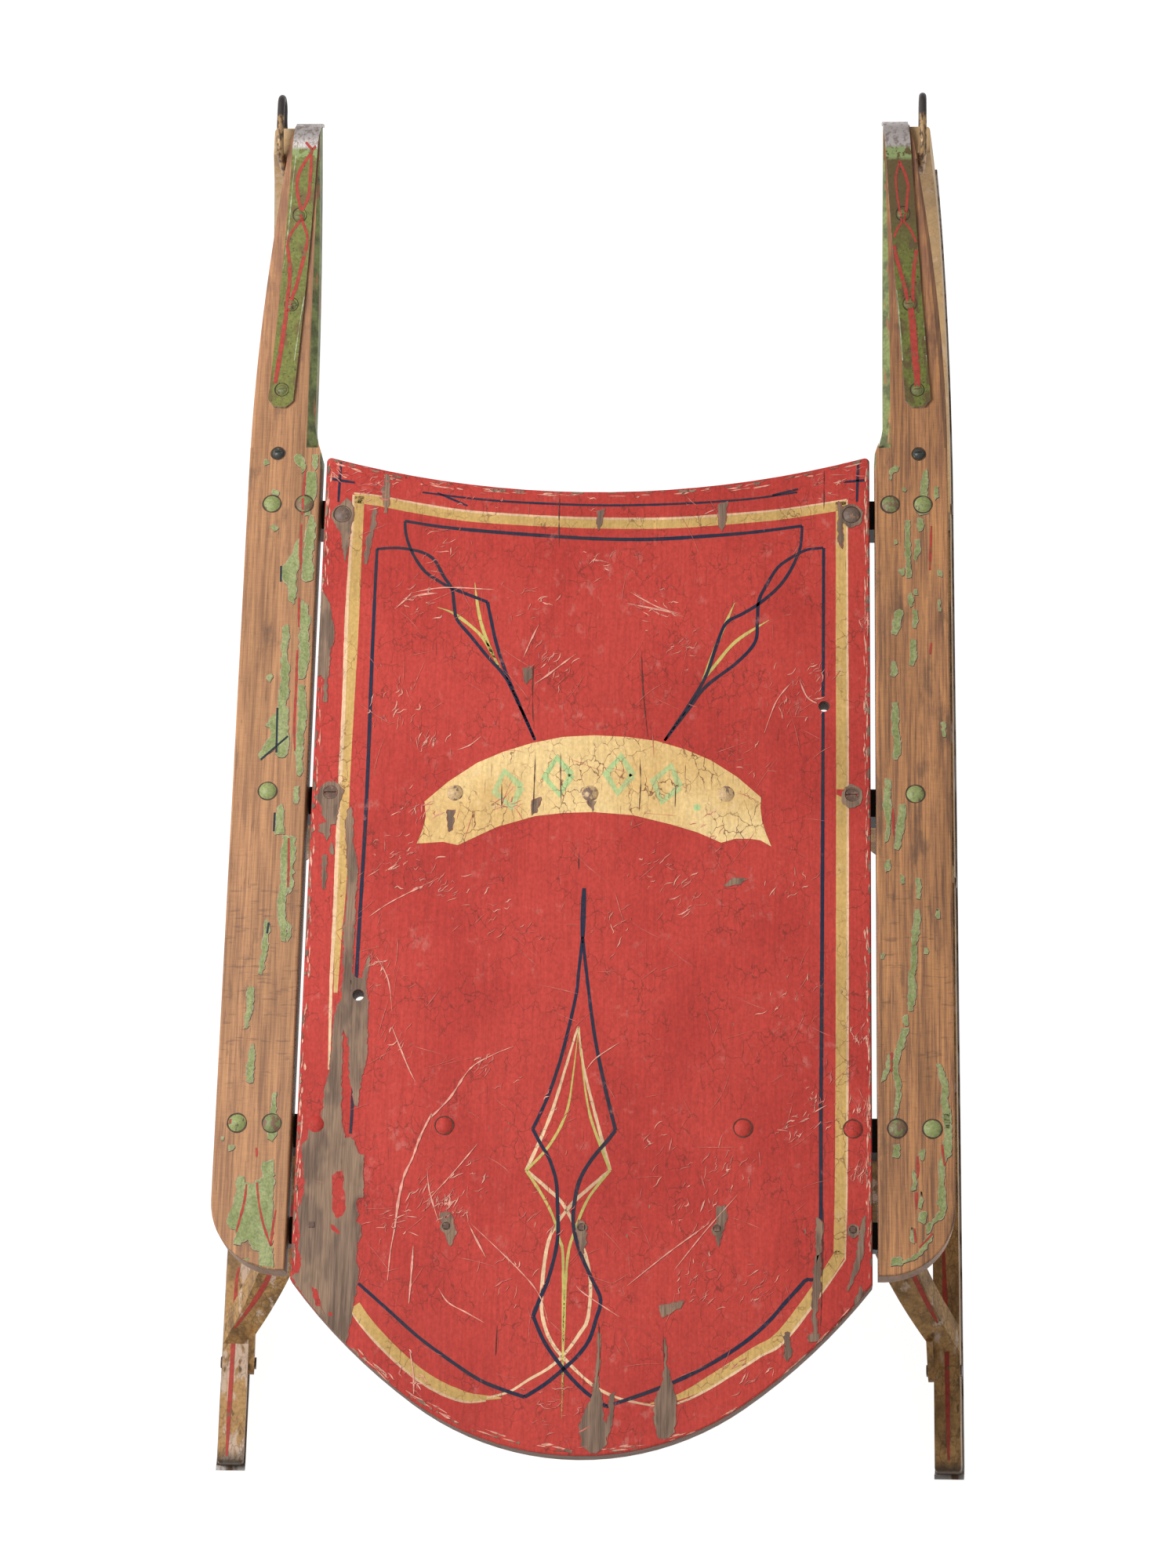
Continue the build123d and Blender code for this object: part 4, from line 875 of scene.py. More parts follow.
# ---------------------------------------------------------------- deck striping
# An ochre band with a cream outer line runs round the deck and ends in a double loop.
# Fine dark-blue and green lines cross inside it, all laid on the red by hand.
BAND_WIDTH = 6.9
BAND = [
    ([
        (-154.4, 176), (-154.4, 152.8), (-154.6, 129.7), (-154.5, 106.7),
        (-154.7, 72.5), (-155.2, 38.7), (-156, -22), (-155.5, -51.4), (-155.2, -95.1),
        (-155.8, -123.9), (-156, -159.6)
    ], (1, 0.35)),
    ([
        (-157.5, 174.9), (-143.4, 173), (-132.8, 170.9), (-114.4, 167.1),
        (-81.8, 161.8), (-33.1, 158.4), (4, 157), (45.6, 157.1), (84.5, 159.9),
        (121.4, 163.8), (161.6, 170.6)
    ], (1, 1)),
    ([
        (158.2, 172.5), (158.1, 85.6), (158.2, -20.5), (157.8, -174.3),
        (157.2, -273.3), (156.3, -322)
    ], (1, 1)),
    ([
        (157.5, -320.5), (142.5, -344.1), (121.1, -372.6), (106.7, -381.9),
        (91.2, -392.3), (75.8, -402.1), (59.1, -410.2), (43.6, -414)
    ], (1, 0.12)),
    ([
        (-136.3, -356.5), (-129.6, -365.6), (-120.9, -375.3), (-109.4, -386.4),
        (-95.1, -398.1), (-80.9, -406.3), (-67, -411), (-55.1, -411.5),
        (-45.6, -411.5)
    ], (1, 0.12))
]
CREAM_LINES = [
    (1.6, [
        (-157.8, 178.3), (-143.2, 176.6), (-132.4, 174.4), (-114, 170.6),
        (-81.5, 165.4), (-33, 161.9), (4, 160.6), (45.6, 160.7), (84.7, 163.4),
        (121.8, 167.3), (161.9, 174.1)
    ]),
    (2.4, [
        (-158, 177.2), (-158.1, 152.8), (-158.9, 118.2), (-159.1, 83.9),
        (-158.6, 31.9), (-158.9, -36.8), (-158.8, -73.3), (-158.7, -109.5),
        (-159, -152.5), (-158, -209.1)
    ]),
    (1.5, [(162, 174), (162, 85.6), (162.1, -20.5), (161.7, -174.3), (161.1, -273.3), (160, -325)]),
    (1.5, [
        (160, -325), (145.2, -346.7), (123.4, -375.5), (108.6, -384.9), (92.9, -395.4),
        (77.2, -405.3), (60, -413.4), (43.6, -415.2)
    ]),
    (1.5, [
        (-138.2, -360.5), (-132.2, -368.4), (-123.2, -378.2), (-111.6, -389.3),
        (-96.9, -401.1), (-82.2, -409.5), (-67.6, -414.2), (-55.1, -413.4)
    ]),
    (2.1, [
        (43.6, -414.8), (32.8, -412.9), (22, -410), (11.1, -404.7), (1.3, -397),
        (-8.5, -387.4), (-15.3, -379.3), (-20.8, -367.9), (-23.3, -350.2),
        (-19.6, -315), (-7.7, -294.4), (4.5, -282.1), (16.8, -271.2), (9.6, -245.2),
        (0.7, -212), (-2.5, -195.6), (-4.3, -180.5)
    ]),
    (2.1, [
        (-54.6, -411.6), (-41, -407.6), (-29.9, -400.4), (-17.8, -393.1), (-8.1, -384),
        (0.6, -371.5), (5.1, -362.4), (6.1, -339.8), (1.4, -319.6), (-10.1, -294.5),
        (-21.8, -282.4), (-34.5, -271.7), (-25.9, -251.4), (-19.1, -233.1),
        (-11.5, -205.7), (-6.1, -185.6), (-4.3, -180.5)
    ])
]
BLUE_LINES = [
    (2.3, [
        (-3, -122.2), (-5, -145.2), (-6.6, -161.9), (-14.5, -199.2), (-22.6, -225.7),
        (-31.1, -245.6), (-25.8, -255.4), (-20.8, -263.7), (-16.2, -277.4),
        (-14.9, -292.1), (-14.4, -314.9), (-19.1, -337.7), (-24.5, -351.7),
        (-28, -361.8), (-20.5, -378), (-7.9, -394.9), (4.2, -407.1), (17, -415.9),
        (36.6, -409.1), (58.6, -400.3), (79.1, -389.7), (97.8, -377.6),
        (112.8, -364.6), (124.5, -351), (135.4, -338.5), (144.3, -325.9),
        (145.3, -224.2), (146.2, -72.6), (146.9, 140.3)
    ]),
    (2.3, [
        (-3, -122.2), (-0.7, -141.1), (5.2, -183), (11.9, -215.4), (19.7, -246.1),
        (13.6, -254.1), (7.9, -261), (1.4, -270.9), (-2.9, -281.7), (-5.2, -299.8),
        (-3.5, -312.4), (0.6, -324.9), (6.6, -337.9), (12.5, -351.3), (9.9, -363.3),
        (6.3, -375.3), (-0.1, -384.9), (-7.9, -392.6), (-19.5, -402.6), (-32, -410.8),
        (-45.8, -406.3), (-59.6, -400.7), (-78.4, -388.6), (-97.3, -375),
        (-115.9, -358.9), (-134.6, -342.8)
    ]),
    (2.3, [
        (-143.1, -249.5), (-142.7, -223.7), (-143.4, -155.3), (-142.3, -83),
        (-141.7, -48.2), (-141.5, -0.9), (-141.7, 57.8), (-141.6, 106.4),
        (-141.3, 139.2)
    ]),
    (3.1, [(-2.7, -90.4), (-2.9, -104.3), (-3, -122.2)]),
    (2.4, [
        (-123.9, 158.6), (-97.8, 154.3), (-65.3, 151), (-24.8, 147.9), (4.2, 146.3),
        (35.6, 146.1), (70.9, 148.3), (101.2, 151.1), (133, 155.6)
    ]),
    (2.1, [
        (-123.9, 158.6), (-123.1, 150.4), (-120.9, 142.5), (-116.5, 132.9),
        (-109.7, 123.3), (-101.5, 117.3), (-93.2, 112.4), (-80.2, 106.9),
        (-68.8, 102.3), (-66, 89.7), (-62.4, 74.2), (-56.2, 55.4), (-47.7, 35),
        (-35.9, 8.3)
    ]),
    (2.1, [
        (-141.4, 139), (-129.7, 139.8), (-119.2, 138.6), (-110.1, 135.9),
        (-103.5, 130.8), (-97.5, 119.9), (-91.9, 111.2), (-90.1, 99.9), (-88, 90.1),
        (-79.3, 79.3), (-67.7, 64.7), (-56.1, 51.1), (-47.7, 34.1), (-35.9, 7.9)
    ]),
    (2.1, [
        (133, 155.6), (132.5, 145.2), (131, 137.5), (125.5, 124.4), (117.5, 112.5),
        (105, 101.1), (94.1, 94), (84.6, 88), (78.7, 73), (71.9, 51.5), (61.2, 31.8),
        (46.3, 7.9)
    ]),
    (2.1, [
        (146.6, 140.3), (140.6, 139.7), (135.1, 138.6), (125.5, 133.1), (117.5, 126.6),
        (111, 115.7), (105.5, 103.8), (104.6, 89.7), (103.2, 75.2), (91.8, 61.2),
        (72, 44.6), (61.2, 29.1), (46.3, 7.9)
    ]),
    (1.7, [(-167.2, 200), (-167.8, 171.9)]),
    (1.7, [(-176.1, 188.8), (-157.6, 185.7)]),
    (1.7, [(169.2, 201.3), (168.4, 172.6)]),
    (1.7, [(159.8, 186.4), (177.5, 188.1)]),
    (1.5, [
        (-113.2, 178.9), (-82.2, 174.7), (-49.6, 171.9), (-0.9, 169.9), (35.2, 170.3),
        (70.7, 172), (101.1, 174.7), (129.9, 179.2)
    ]),
    (1.5, [(-103.4, 178.5), (-83.6, 169.4)]),
    (1.5, [(113.7, 177), (130.4, 181.4)])
]
GREEN_LINES = [
    (2.1, [(-77.2, 115.6), (-75.6, 103.4), (-72.4, 87.9), (-67.1, 72.5), (-62, 61.3), (-58.1, 53.7)]),
    (2.1, [
        (-100.8, 98.5), (-91.1, 94.8), (-79.6, 86.2), (-71.3, 77.9), (-64.5, 66.5),
        (-58.6, 55.4)
    ]),
    (2.1, [(68.5, 45.6), (74.3, 60.6), (80.2, 77.3), (90, 102.1)]),
    (2.1, [(68.5, 45.6), (79.3, 61.2), (91.7, 76.2), (112.1, 90.3)]),
    (1.7, [
        (-4.3, -180.5), (-7, -210.6), (-10.8, -235.5), (-21, -256.3), (-34.5, -271.7),
        (-25.1, -285.8), (-17.6, -299.9), (-13.4, -313.9), (-10.8, -325.1),
        (-9.8, -371.6), (-9.4, -423.3)
    ]),
    (1.7, [
        (-4.3, -180.5), (-0.8, -210.6), (3.6, -235.4), (10.7, -256), (16.8, -271.2),
        (8.3, -282.1), (2.3, -291.9), (-4, -309), (-8.1, -327.4), (-9.3, -371.6),
        (-9.4, -423.3)
    ])
]

band = Coat(deck_skin, lift=0.05)
for line, ends in BAND:
    band.stroke(line, BAND_WIDTH, ends=ends, gap=4.0, waver=0.04)
band.make("deck_band", board_paint("deck_ochre", OCHRE_BAND, (0.54, 0.34, 0.115), chips=0.03, crackle=0.6,
                                   rub=(0.72, 0.55, 0.34)), "deck_paint")
cream = Coat(deck_skin, lift=0.08)
for width, line in CREAM_LINES:
    cream.stroke(line, width, ends=(0.6, 0.6), gap=3.0, waver=0.3)
cream.make("deck_cream_lines", board_paint("deck_cream", CREAM, (0.62, 0.40, 0.24), chips=0.02, crackle=0.5),
           "deck_paint")
green_lines = Coat(deck_skin, lift=0.11)
for width, line in GREEN_LINES:
    green_lines.stroke(line, width, ends=(0.15, 0.15), gap=2.5, waver=0.25)
green_lines.make("deck_green_lines", board_paint("deck_leaf", LEAF, (0.46, 0.40, 0.12), crackle=0.3),
                 "deck_paint")
blue_lines = Coat(deck_skin, lift=0.14)
for width, line in BLUE_LINES:
    blue_lines.stroke(line, width, ends=(0.8, 0.8), gap=3.0, waver=0.16)
blue_lines.make("deck_blue_lines", board_paint("deck_blue", BLUE, (0.035, 0.033, 0.05), crackle=0.35),
                "deck_paint")

# ---------------------------------------------------------------- banner
# A cream scroll across the middle of the deck with forked ends.
# The mint-green marks on it are plain lozenges and a dot in place of any wording.
BANNER_OUTLINE = [
    (-108.7, -61.6), (-105.3, -52.2), (-103.6, -43.8), (-104.7, -33.6), (-90, -20.1), (-72, -7.4),
    (-55.8, 0), (-38, 5.9), (-18.2, 10.2), (1.7, 11.4), (21.7, 10.4), (41.1, 7.8), (59.5, 2.1),
    (75.9, -5.2), (92.4, -16.1), (107.7, -29.9), (107.3, -36.5), (108.3, -45.3), (110.8, -53.6),
    (114.3, -62.4), (107.4, -58.3), (101, -57.3), (91.7, -57.3), (82.9, -60), (68, -53.3),
    (51.7, -48.2), (27.5, -42.1), (2.7, -40.1), (-16, -40.7), (-34.3, -42.9), (-58.4, -50.3),
    (-82.7, -62.5), (-92.2, -60.4), (-100.1, -61)
]
LOZENGES = [(-52.1, -25.2, 12), (-20.6, -16.1, 5), (18.1, -14.9, -4), (47.9, -21.1, -13), (67.4, -36.7, 0)]
LOZENGE_ACROSS, LOZENGE_TALL, LOZENGE_LINE = 8.6, 12.5, 4.6
DOT_RADIUS = 2.3
scroll = Coat(deck_skin, lift=0.18)
scroll.patch(BANNER_OUTLINE)
scroll.make("banner", board_paint("banner_cream", BANNER, (0.74, 0.48, 0.19), crackle=0.8,
                                  rub=(0.80, 0.64, 0.42)), "deck_paint")
marks = Coat(deck_skin, lift=0.22)
for cx, cy, tilt in LOZENGES[:-1]:
    lozenge = []
    for i in range(4):
        turn, reach = math.tau * i / 4 + math.radians(tilt), (LOZENGE_ACROSS, LOZENGE_TALL)[i % 2]
        lozenge.append((cx + reach * math.cos(turn), cy + reach * math.sin(turn)))
    marks.stroke(lozenge + [lozenge[0]], LOZENGE_LINE, smooth=False, waver=0.2)
marks.patch(round_loop(*LOZENGES[-1][:2], DOT_RADIUS))
marks.make("banner_marks", board_paint("banner_mint", MINT, (0.50, 0.55, 0.25), chips=0.03, crackle=0.5,
                                       rub=(0.70, 0.62, 0.36)), "deck_paint")

# ---------------------------------------------------------------- deck wear
# Paint lost down to the wood: one long bare strip at the left rear, drips at the tail and
# chips along the edges. Short dark seams, and pale scratches where the red was scored.
BARE_PATCHES = [
    [
        (-151.9, -163), (-149, -166), (-146.8, -158), (-146, -147), (-143.5, -150), (-139, -150),
        (-138.9, -145.3), (-136.3, -135.2), (-135.1, -138.1), (-137.2, -149.5), (-136.8, -159.5),
        (-135.2, -165.2), (-135.5, -172.3), (-135.2, -183.6), (-135.1, -203.3), (-138, -215.9),
        (-139, -225.7), (-139.4, -232.7), (-141.1, -231.3), (-143.3, -220.9), (-145.2, -213.2),
        (-146.4, -192.1), (-150.3, -182.3), (-152.5, -190), (-157, -191), (-156.5, -180.9),
        (-154.9, -169.6)
    ],
    [
        (-153.2, -39.7), (-151.2, -38.2), (-149.2, -47), (-149.3, -57.2), (-147.5, -68.9),
        (-145.4, -79.8), (-146, -97.9), (-146, -116.7), (-146.3, -132.4), (-146.2, -148),
        (-147, -166), (-151.9, -166), (-151.7, -145.4), (-152.5, -116.7), (-151.3, -103.7),
        (-151.6, -80.6), (-153.1, -60.2), (-154.3, -47)
    ],
    [
        (-156.7, -188), (-150.6, -187), (-149.9, -209), (-150, -223), (-148.5, -246), (-146, -253.2),
        (-142.8, -251.4), (-140.2, -255.8), (-137.9, -261.6), (-134.7, -263), (-134.7, -270.2),
        (-133.6, -281.7), (-134, -288.9), (-137.5, -290.4), (-138, -296.1), (-136.4, -300.4),
        (-137.6, -304.7), (-134.7, -307.5), (-133.8, -313.2), (-136.4, -319), (-137, -327.5),
        (-135.1, -333.2), (-135.5, -341.7), (-136.1, -350.2), (-137.7, -355.8), (-138.1, -362.9),
        (-139.2, -369.9), (-140.9, -379.8), (-142.2, -384.5), (-147, -378.5), (-153.5, -370.5),
        (-160.5, -361.5), (-167, -352), (-172.5, -344.2), (-175.5, -339), (-171, -336),
        (-170.1, -333.5), (-169.7, -327.9), (-171.8, -322.2), (-171.7, -313.6), (-172.5, -305.1),
        (-173.5, -296.5), (-171.3, -292.1), (-170, -287.8), (-170.1, -277.7), (-171.2, -270.5),
        (-172.6, -261.9), (-172.4, -256.1), (-168.7, -253.1), (-169.5, -244.4), (-167.1, -242.2),
        (-163.9, -248.7), (-159.8, -245.8), (-161.3, -237.1), (-160.2, -230), (-159.7, -218.9),
        (-157.3, -209.1)
    ],
    [
        (-165.1, -22.1), (-160.2, -22.1), (-156.5, -26.5), (-158.4, -33.1), (-160, -44.1),
        (-161.2, -49.3), (-164, -48.5), (-163.7, -55.9), (-165.6, -60), (-167.9, -55.2),
        (-170.8, -53.7), (-170.6, -48.6), (-166.1, -47.8), (-169.1, -42.7), (-170.1, -35.4),
        (-174.5, -31), (-170.5, -27.3)
    ],
    [(-168, -69.8), (-165.2, -69.7), (-165, -91.5), (-167, -92.3)],
    [(-163.1, -61), (-161, -64.6), (-161.3, -69.7), (-163, -68.7)],
    [
        (-176.2, 109.5), (-173.4, 106.7), (-170.4, 99.8), (-168.4, 89.6), (-166.7, 81.6),
        (-166.7, 74.8), (-169.2, 69.1), (-168.8, 61.2), (-169.6, 49.9), (-169.6, 33.2), (-172.1, 33),
        (-171.8, 43.1), (-171, 48.7), (-173.7, 51.6), (-176.8, 49.8), (-177, 66.8), (-177, 78.2),
        (-176.4, 95.2)
    ],
    [
        (-166.9, 169), (-162.3, 174.8), (-159.4, 171.4), (-157.5, 164.4), (-158.2, 155.1),
        (-159.5, 147.6), (-160.3, 138.9), (-161.5, 129.7), (-163.8, 141.2), (-165, 150.5),
        (-167.8, 153.9), (-169.4, 164.4)
    ],
    [
        (-144.3, 169.1), (-142.9, 165.6), (-143.2, 155.1), (-145.5, 143.6), (-146.2, 135.5),
        (-147.6, 128.3), (-149.4, 129.7), (-148.5, 138.9), (-148.2, 145.9), (-146.3, 150.5),
        (-145.6, 162.1)
    ],
    [
        (-138.1, 191.8), (-135.4, 190.1), (-134.4, 178.4), (-135.5, 164.4), (-137.5, 164.4),
        (-138.3, 174.9), (-139.6, 180.7), (-137.9, 185.4)
    ],
    [
        (11, -371.4), (12.9, -372.6), (12.9, -388.4), (12, -400.5), (14.8, -412.5), (15.6, -423.3),
        (18.1, -428.1), (17.7, -438.8), (11.8, -443.7), (8.2, -443.7), (3.4, -440.2), (1.4, -428.3),
        (4.2, -419.8), (8.8, -409), (9.8, -400.5), (11.3, -387.2)
    ],
    [
        (51.4, -373.4), (52.7, -378.2), (53.1, -391.5), (56.6, -403.6), (59.1, -410.8),
        (58.2, -431.2), (54.6, -434.2), (48.7, -434.3), (46.1, -425.3), (45.4, -416.9),
        (48.3, -406.1), (51.2, -398.8), (51.6, -387.9)
    ],
    [
        (19, -410), (21.9, -407.6), (21.5, -417.2), (20.4, -425.6), (18.2, -436.4), (16.9, -429.3),
        (19.1, -419.7)
    ],
    [
        (123.5, -370.2), (126.5, -370.1), (125.9, -376.2), (127.1, -383.4), (125.3, -387.7),
        (123.5, -384.7), (124.1, -377.4)
    ],
    [(137.3, -372.4), (140.3, -370), (144.5, -371.1), (143.9, -375.4), (138.5, -375.8)],
    [
        (142, -323.5), (145.3, -322), (144.8, -341.2), (142.5, -360.4), (143.9, -373.7),
        (140.6, -370.9), (140.1, -350.9)
    ],
    [(82, -293.6), (87.2, -292.5), (88.3, -299.3), (85.5, -310.5), (83.2, -317.8), (81.7, -308.1)],
    [(78.8, 170.9), (84.9, 172.5), (84, 161.5), (82, 151.6), (79.5, 154.9)],
    [(0.8, 165.8), (5.3, 166.9), (4, 157), (1.1, 151.5)],
    [(84.6, -87.9), (90.9, -83.2), (99.7, -83.7), (94.8, -86.8), (88, -88.9)],
    [(47.6, -354.7), (62.7, -351.7), (60.8, -355.6), (50, -361.4)],
    [(-44.7, 56.5), (-39.8, 58.1), (-38.6, 50.1), (-43, 46.3)],
    [(-90.4, -39), (-85.4, -39.5), (-87, -52.1), (-88.9, -54.2)],
    [(-1.8, -302.2), (2.1, -304.1), (3.3, -316.2), (0.6, -323.5), (-1.5, -313.8)],
    [(-87, -299.1), (-79.8, -297.6), (-76, -312.1), (-79.6, -319.5), (-83.7, -309.8)],
    [(156.7, 172.6), (159.8, 167.1), (158.7, 139.7), (156.2, 145.2)],
    [
        (169.9, -300.5), (172.3, -298), (170.8, -321.7), (163.7, -341), (160.9, -344.9),
        (166.1, -326.6)
    ],
    [(165.6, -350.6), (169.4, -341), (170.3, -352.9), (164.6, -365.9)],
    [(-37, -33), (-31.1, -30.9), (-33.9, -40.3), (-36.8, -42.4)],
    [(-1.4, -32.8), (3.6, -32.8), (1.7, -40.1)],
    [(123.2, -373), (126, -370.1), (127.9, -383.4), (125.1, -387.2)],
    [(142.9, -298.8), (146.7, -302.6), (144.8, -322), (142.9, -327.8), (142, -312.4)]
]
RED_ISLANDS = [
    [
        (-153.2, -276.1), (-150.2, -273.2), (-146.6, -273.2), (-146, -277.5), (-146.7, -282.6),
        (-144.6, -287.6), (-144.3, -296.2), (-145.9, -301.2), (-149.7, -302.7), (-152.3, -297.7)
    ],
    [(-152.8, -306.3), (-150.5, -307.4), (-146.5, -311.9), (-148.6, -312.2), (-152.2, -309.9)],
    [
        (-163.2, -345), (-159.8, -346.4), (-157.1, -354.1), (-154.3, -362.2), (-156.7, -363.7),
        (-159.8, -358)
    ],
    [(-152, -360.8), (-149.6, -360.7), (-149.5, -363.1), (-151.9, -363.2)]
]
SEAMS = [
    [(147.1, 194.7), (147.1, 172.6), (146.9, 167.1)],
    [(-23.9, 180.1), (-24, 161.4), (-23.5, 139.4)],
    [(-37.9, 63.5), (-38.4, 42.1), (-37.2, 15.5)],
    [(30.7, 69.1), (32.1, 42.3), (35.6, 10.5)],
    [(146.7, -292.9), (145.8, -341.2), (144.8, -369.9)],
    [(-35.3, -0.4), (-35.7, -26.7), (-35.8, -42.4)],
    [(-19.4, -0.3), (-18.9, -21.4), (-18.1, -37.1)],
    [(30.8, -2.7), (31.6, -21.1), (30.9, -39.5)],
    [(53.8, -21), (53.5, -36.7)],
    [(-56.2, -21.6), (-55.7, -40.4)],
    [(11.3, -362.8), (12.7, -385.7), (10.7, -407)],
    [(50.7, -371), (51.5, -395.7)],
    [(-49.7, -367.3), (-50.1, -386.4)],
    [(-6.6, -68.3), (-6.4, -78.6)]
]
LONG_SCRATCHES = [
    (1.1, [
        (-44.2, -193.4), (-56.2, -198.5), (-70.5, -207.6), (-82.5, -226.2),
        (-93.7, -238.7), (-93.5, -236.5), (-100.1, -251.1), (-104.5, -264.9),
        (-109.1, -275.7), (-112.1, -291.6), (-113.6, -307.3), (-115.8, -323),
        (-116.9, -340.8)
    ]),
    (1, [(-102, -319.3), (-102.7, -338.5), (-103.5, -354.8)]),
    (0.8, [(-69, -304.7), (-64.3, -314), (-57.6, -326)]),
    (0.8, [(-101.8, -384.2), (-99.3, -397.5), (-98.6, -410)]),
    (0.7, [(-85.7, -345.4), (-79.8, -353.8), (-68.5, -360), (-57.2, -366.2)]),
    (0.6, [(-94.5, -291.4), (-79.5, -274), (-64.6, -255.1)]),
    (0.8, [(-117.3, 108.5), (-96.4, 112.1), (-64.2, 110.7)]),
    (0.8, [(-117.2, 105.9), (-107.6, 107.7), (-101.2, 108.1)]),
    (0.7, [(-128.2, 97.3), (-122, 103.3), (-117.3, 109.1)]),
    (0.8, [(-36.8, 46.1), (-29, 52), (-19.6, 59.8), (-11, 66.6)]),
    (0.7, [(-44.5, 64), (-40.7, 74.3), (-35.4, 86.6)]),
    (0.6, [(-85, 1), (-77.1, 4.4), (-70.1, 10.3)]),
    (0.7, [(21.1, 101.4), (46.4, 96), (57.5, 92.3)]),
    (0.7, [(22.5, 109.5), (41.3, 98.7), (55.4, 94.4)]),
    (0.7, [(126.8, 48), (116.9, 34.6), (109.5, 13.4)]),
    (0.7, [(131.7, 49.1), (136.7, 37.4), (145.7, 32.1)]),
    (0.7, [(94.3, -286.1), (75.5, -308.2), (56.8, -332.6)]),
    (0.6, [(28.5, -342.5), (51.9, -323), (77.8, -303.3)]),
    (0.6, [(21.1, -190.4), (6.8, -200.5), (1.1, -208)]),
    (0.6, [(-95.1, -270.8), (-93.2, -285.5), (-86.8, -305)]),
    (0.6, [(-137.3, -110.3), (-122.9, -99.9), (-93.9, -84.3)]),
    (0.6, [(-131.4, -135.9), (-123.5, -151.1), (-120.3, -171.3)]),
    (0.6, [(-120, -181.4), (-109.4, -206.4), (-104.2, -216.4)]),
    (0.6, [(-2.4, -342.8), (2.5, -347.6), (24.1, -361.7)]),
    (0.6, [(-67.6, -304.8), (-28.5, -343.1), (-18.4, -367)])
]
SCRATCH_BUNDLES = [
    (-115.1, 103.7, 7, 20, 27), (-101.1, 139.2, 6, 40, 17), (-148.6, 183.3, 9, 10, 31),
    (-82.2, 187.8, 10, 5, 31), (-127.6, 28.4, 9, 80, 27), (-106.7, 4.6, 6, 70, 20),
    (-110.2, -40.2, 5, 60, 17), (-55.7, -37.3, 4, 40, 8), (-44.3, 101.2, 8, 30, 17),
    (-28.2, 58.1, 7, 50, 20), (36.2, 101.4, 8, -25, 20), (0.5, 128.5, 7, 20, 14),
    (56.7, 69.1, 7, 40, 17), (126.8, 37.3, 9, 60, 27), (141.7, 53.4, 6, 60, 14),
    (-123.9, -74.1, 9, 25, 31), (-93.7, -89.5, 8, 20, 24), (-131.1, -146.1, 6, 60, 20),
    (-114.8, -191.4, 7, 50, 17), (43.8, -78.3, 8, 40, 17), (58.7, -98.8, 7, 45, 17),
    (14.9, -114.5, 8, 60, 14), (72.9, -52.2, 6, 35, 10), (122.2, -88.1, 8, 60, 14),
    (-94.4, -290.4, 7, 60, 37), (-77.5, -295.1, 5, 70, 24), (-68.5, -275.5, 6, 40, 14),
    (-115.5, -305.2, 6, 10, 20), (-24.6, -304.3, 9, 50, 14), (65.8, -293.7, 10, 60, 27),
    (89.5, -274, 8, 60, 20), (46.3, -264.6, 8, 45, 14), (141.9, -229.2, 7, 60, 27),
    (127.6, -244.2, 6, 40, 17), (-42.7, -343.2, 10, 60, 17), (66.4, -342.1, 9, 45, 20),
    (104.2, -341.7, 8, 50, 20), (-102.6, -401.2, 8, -40, 20), (-17.2, -419.1, 10, 5, 20),
    (99.9, -398.9, 8, 30, 20), (168.1, -273.2, 3, 80, 27), (170.6, -233.9, 3, 80, 20),
    (168.4, -189.2, 3, 80, 14), (163.2, -369.7, 6, 60, 24), (-169.5, 194.4, 5, -20, 20),
    (151.7, 189.2, 8, 10, 20), (-0.7, 191.8, 10, 0, 20), (60.4, 186.3, 9, 5, 20),
    (171.6, 85.6, 2.5, 85, 14), (-21.4, -235.6, 8, 50, 10), (-65.6, -211.1, 7, 50, 14),
    (122.5, -164.5, 10, 60, 14), (-53.6, -114.9, 10, 40, 14), (97.3, -10.3, 8, 40, 10)
]

PATCH_LIFT, PATCH_STEP = 0.30, 0.006   # patches that overlap lie at heights of their own
TORN_EDGE_WIDTH, SEAM_WIDTH = 0.8, 0.55
KEPT_CLEAR = {0: (-141.7, -160.95, 3.7), 3: (-164.7, -27.65, 4.15)}   # patch number: x, y, radius
lost, lost_edge = Coat(deck_skin, lift=PATCH_LIFT), Coat(deck_skin, lift=0.26)
for number, shape in enumerate(BARE_PATCHES):
    torn = roughened(shape, 1.0, seed=40 + number * 2.3)
    head = round_loop(*KEPT_CLEAR[number]) if number in KEPT_CLEAR else ()
    lost.lift = (PATCH_LIFT + PATCH_STEP * (number % 8)) * MM
    lost.patch(torn, hole=head, level=True)
    lost_edge.stroke(torn + [torn[0]], TORN_EDGE_WIDTH, smooth=False, waver=1.4)

RIM = [
    (176, 203.5), (150, 195.6), (120, 188.6), (80, 182.3), (40, 179.5), (0, 178.9), (-40, 179.5),
    (-80, 182.3), (-120, 188.6), (-150, 195.6), (-176, 203.5), (-176, 0), (-176, -160), (-176, -339),
    (-141, -379.5), (-110.6, -406.5), (-68.2, -429.6), (-28.7, -441.3), (5.4, -444.9),
    (44.3, -440.4), (80.4, -427.8), (117, -405.2), (141.1, -382.5), (165.5, -354.8), (176, -339),
    (176, -100), (176, 203.5)
]
CHIP_SHAPE = ((0, 0.1), (0.5, 0.05), (1, 0.1), (0.85, 0.7), (0.5, 1.0), (0.15, 0.8))   # along, inward
CHIP_DEPTHS = (0.5, 0.7, 0.9, 1.3, 2.0)
rim_wear_and_highlight = Coat(deck_skin, lift=0.24)
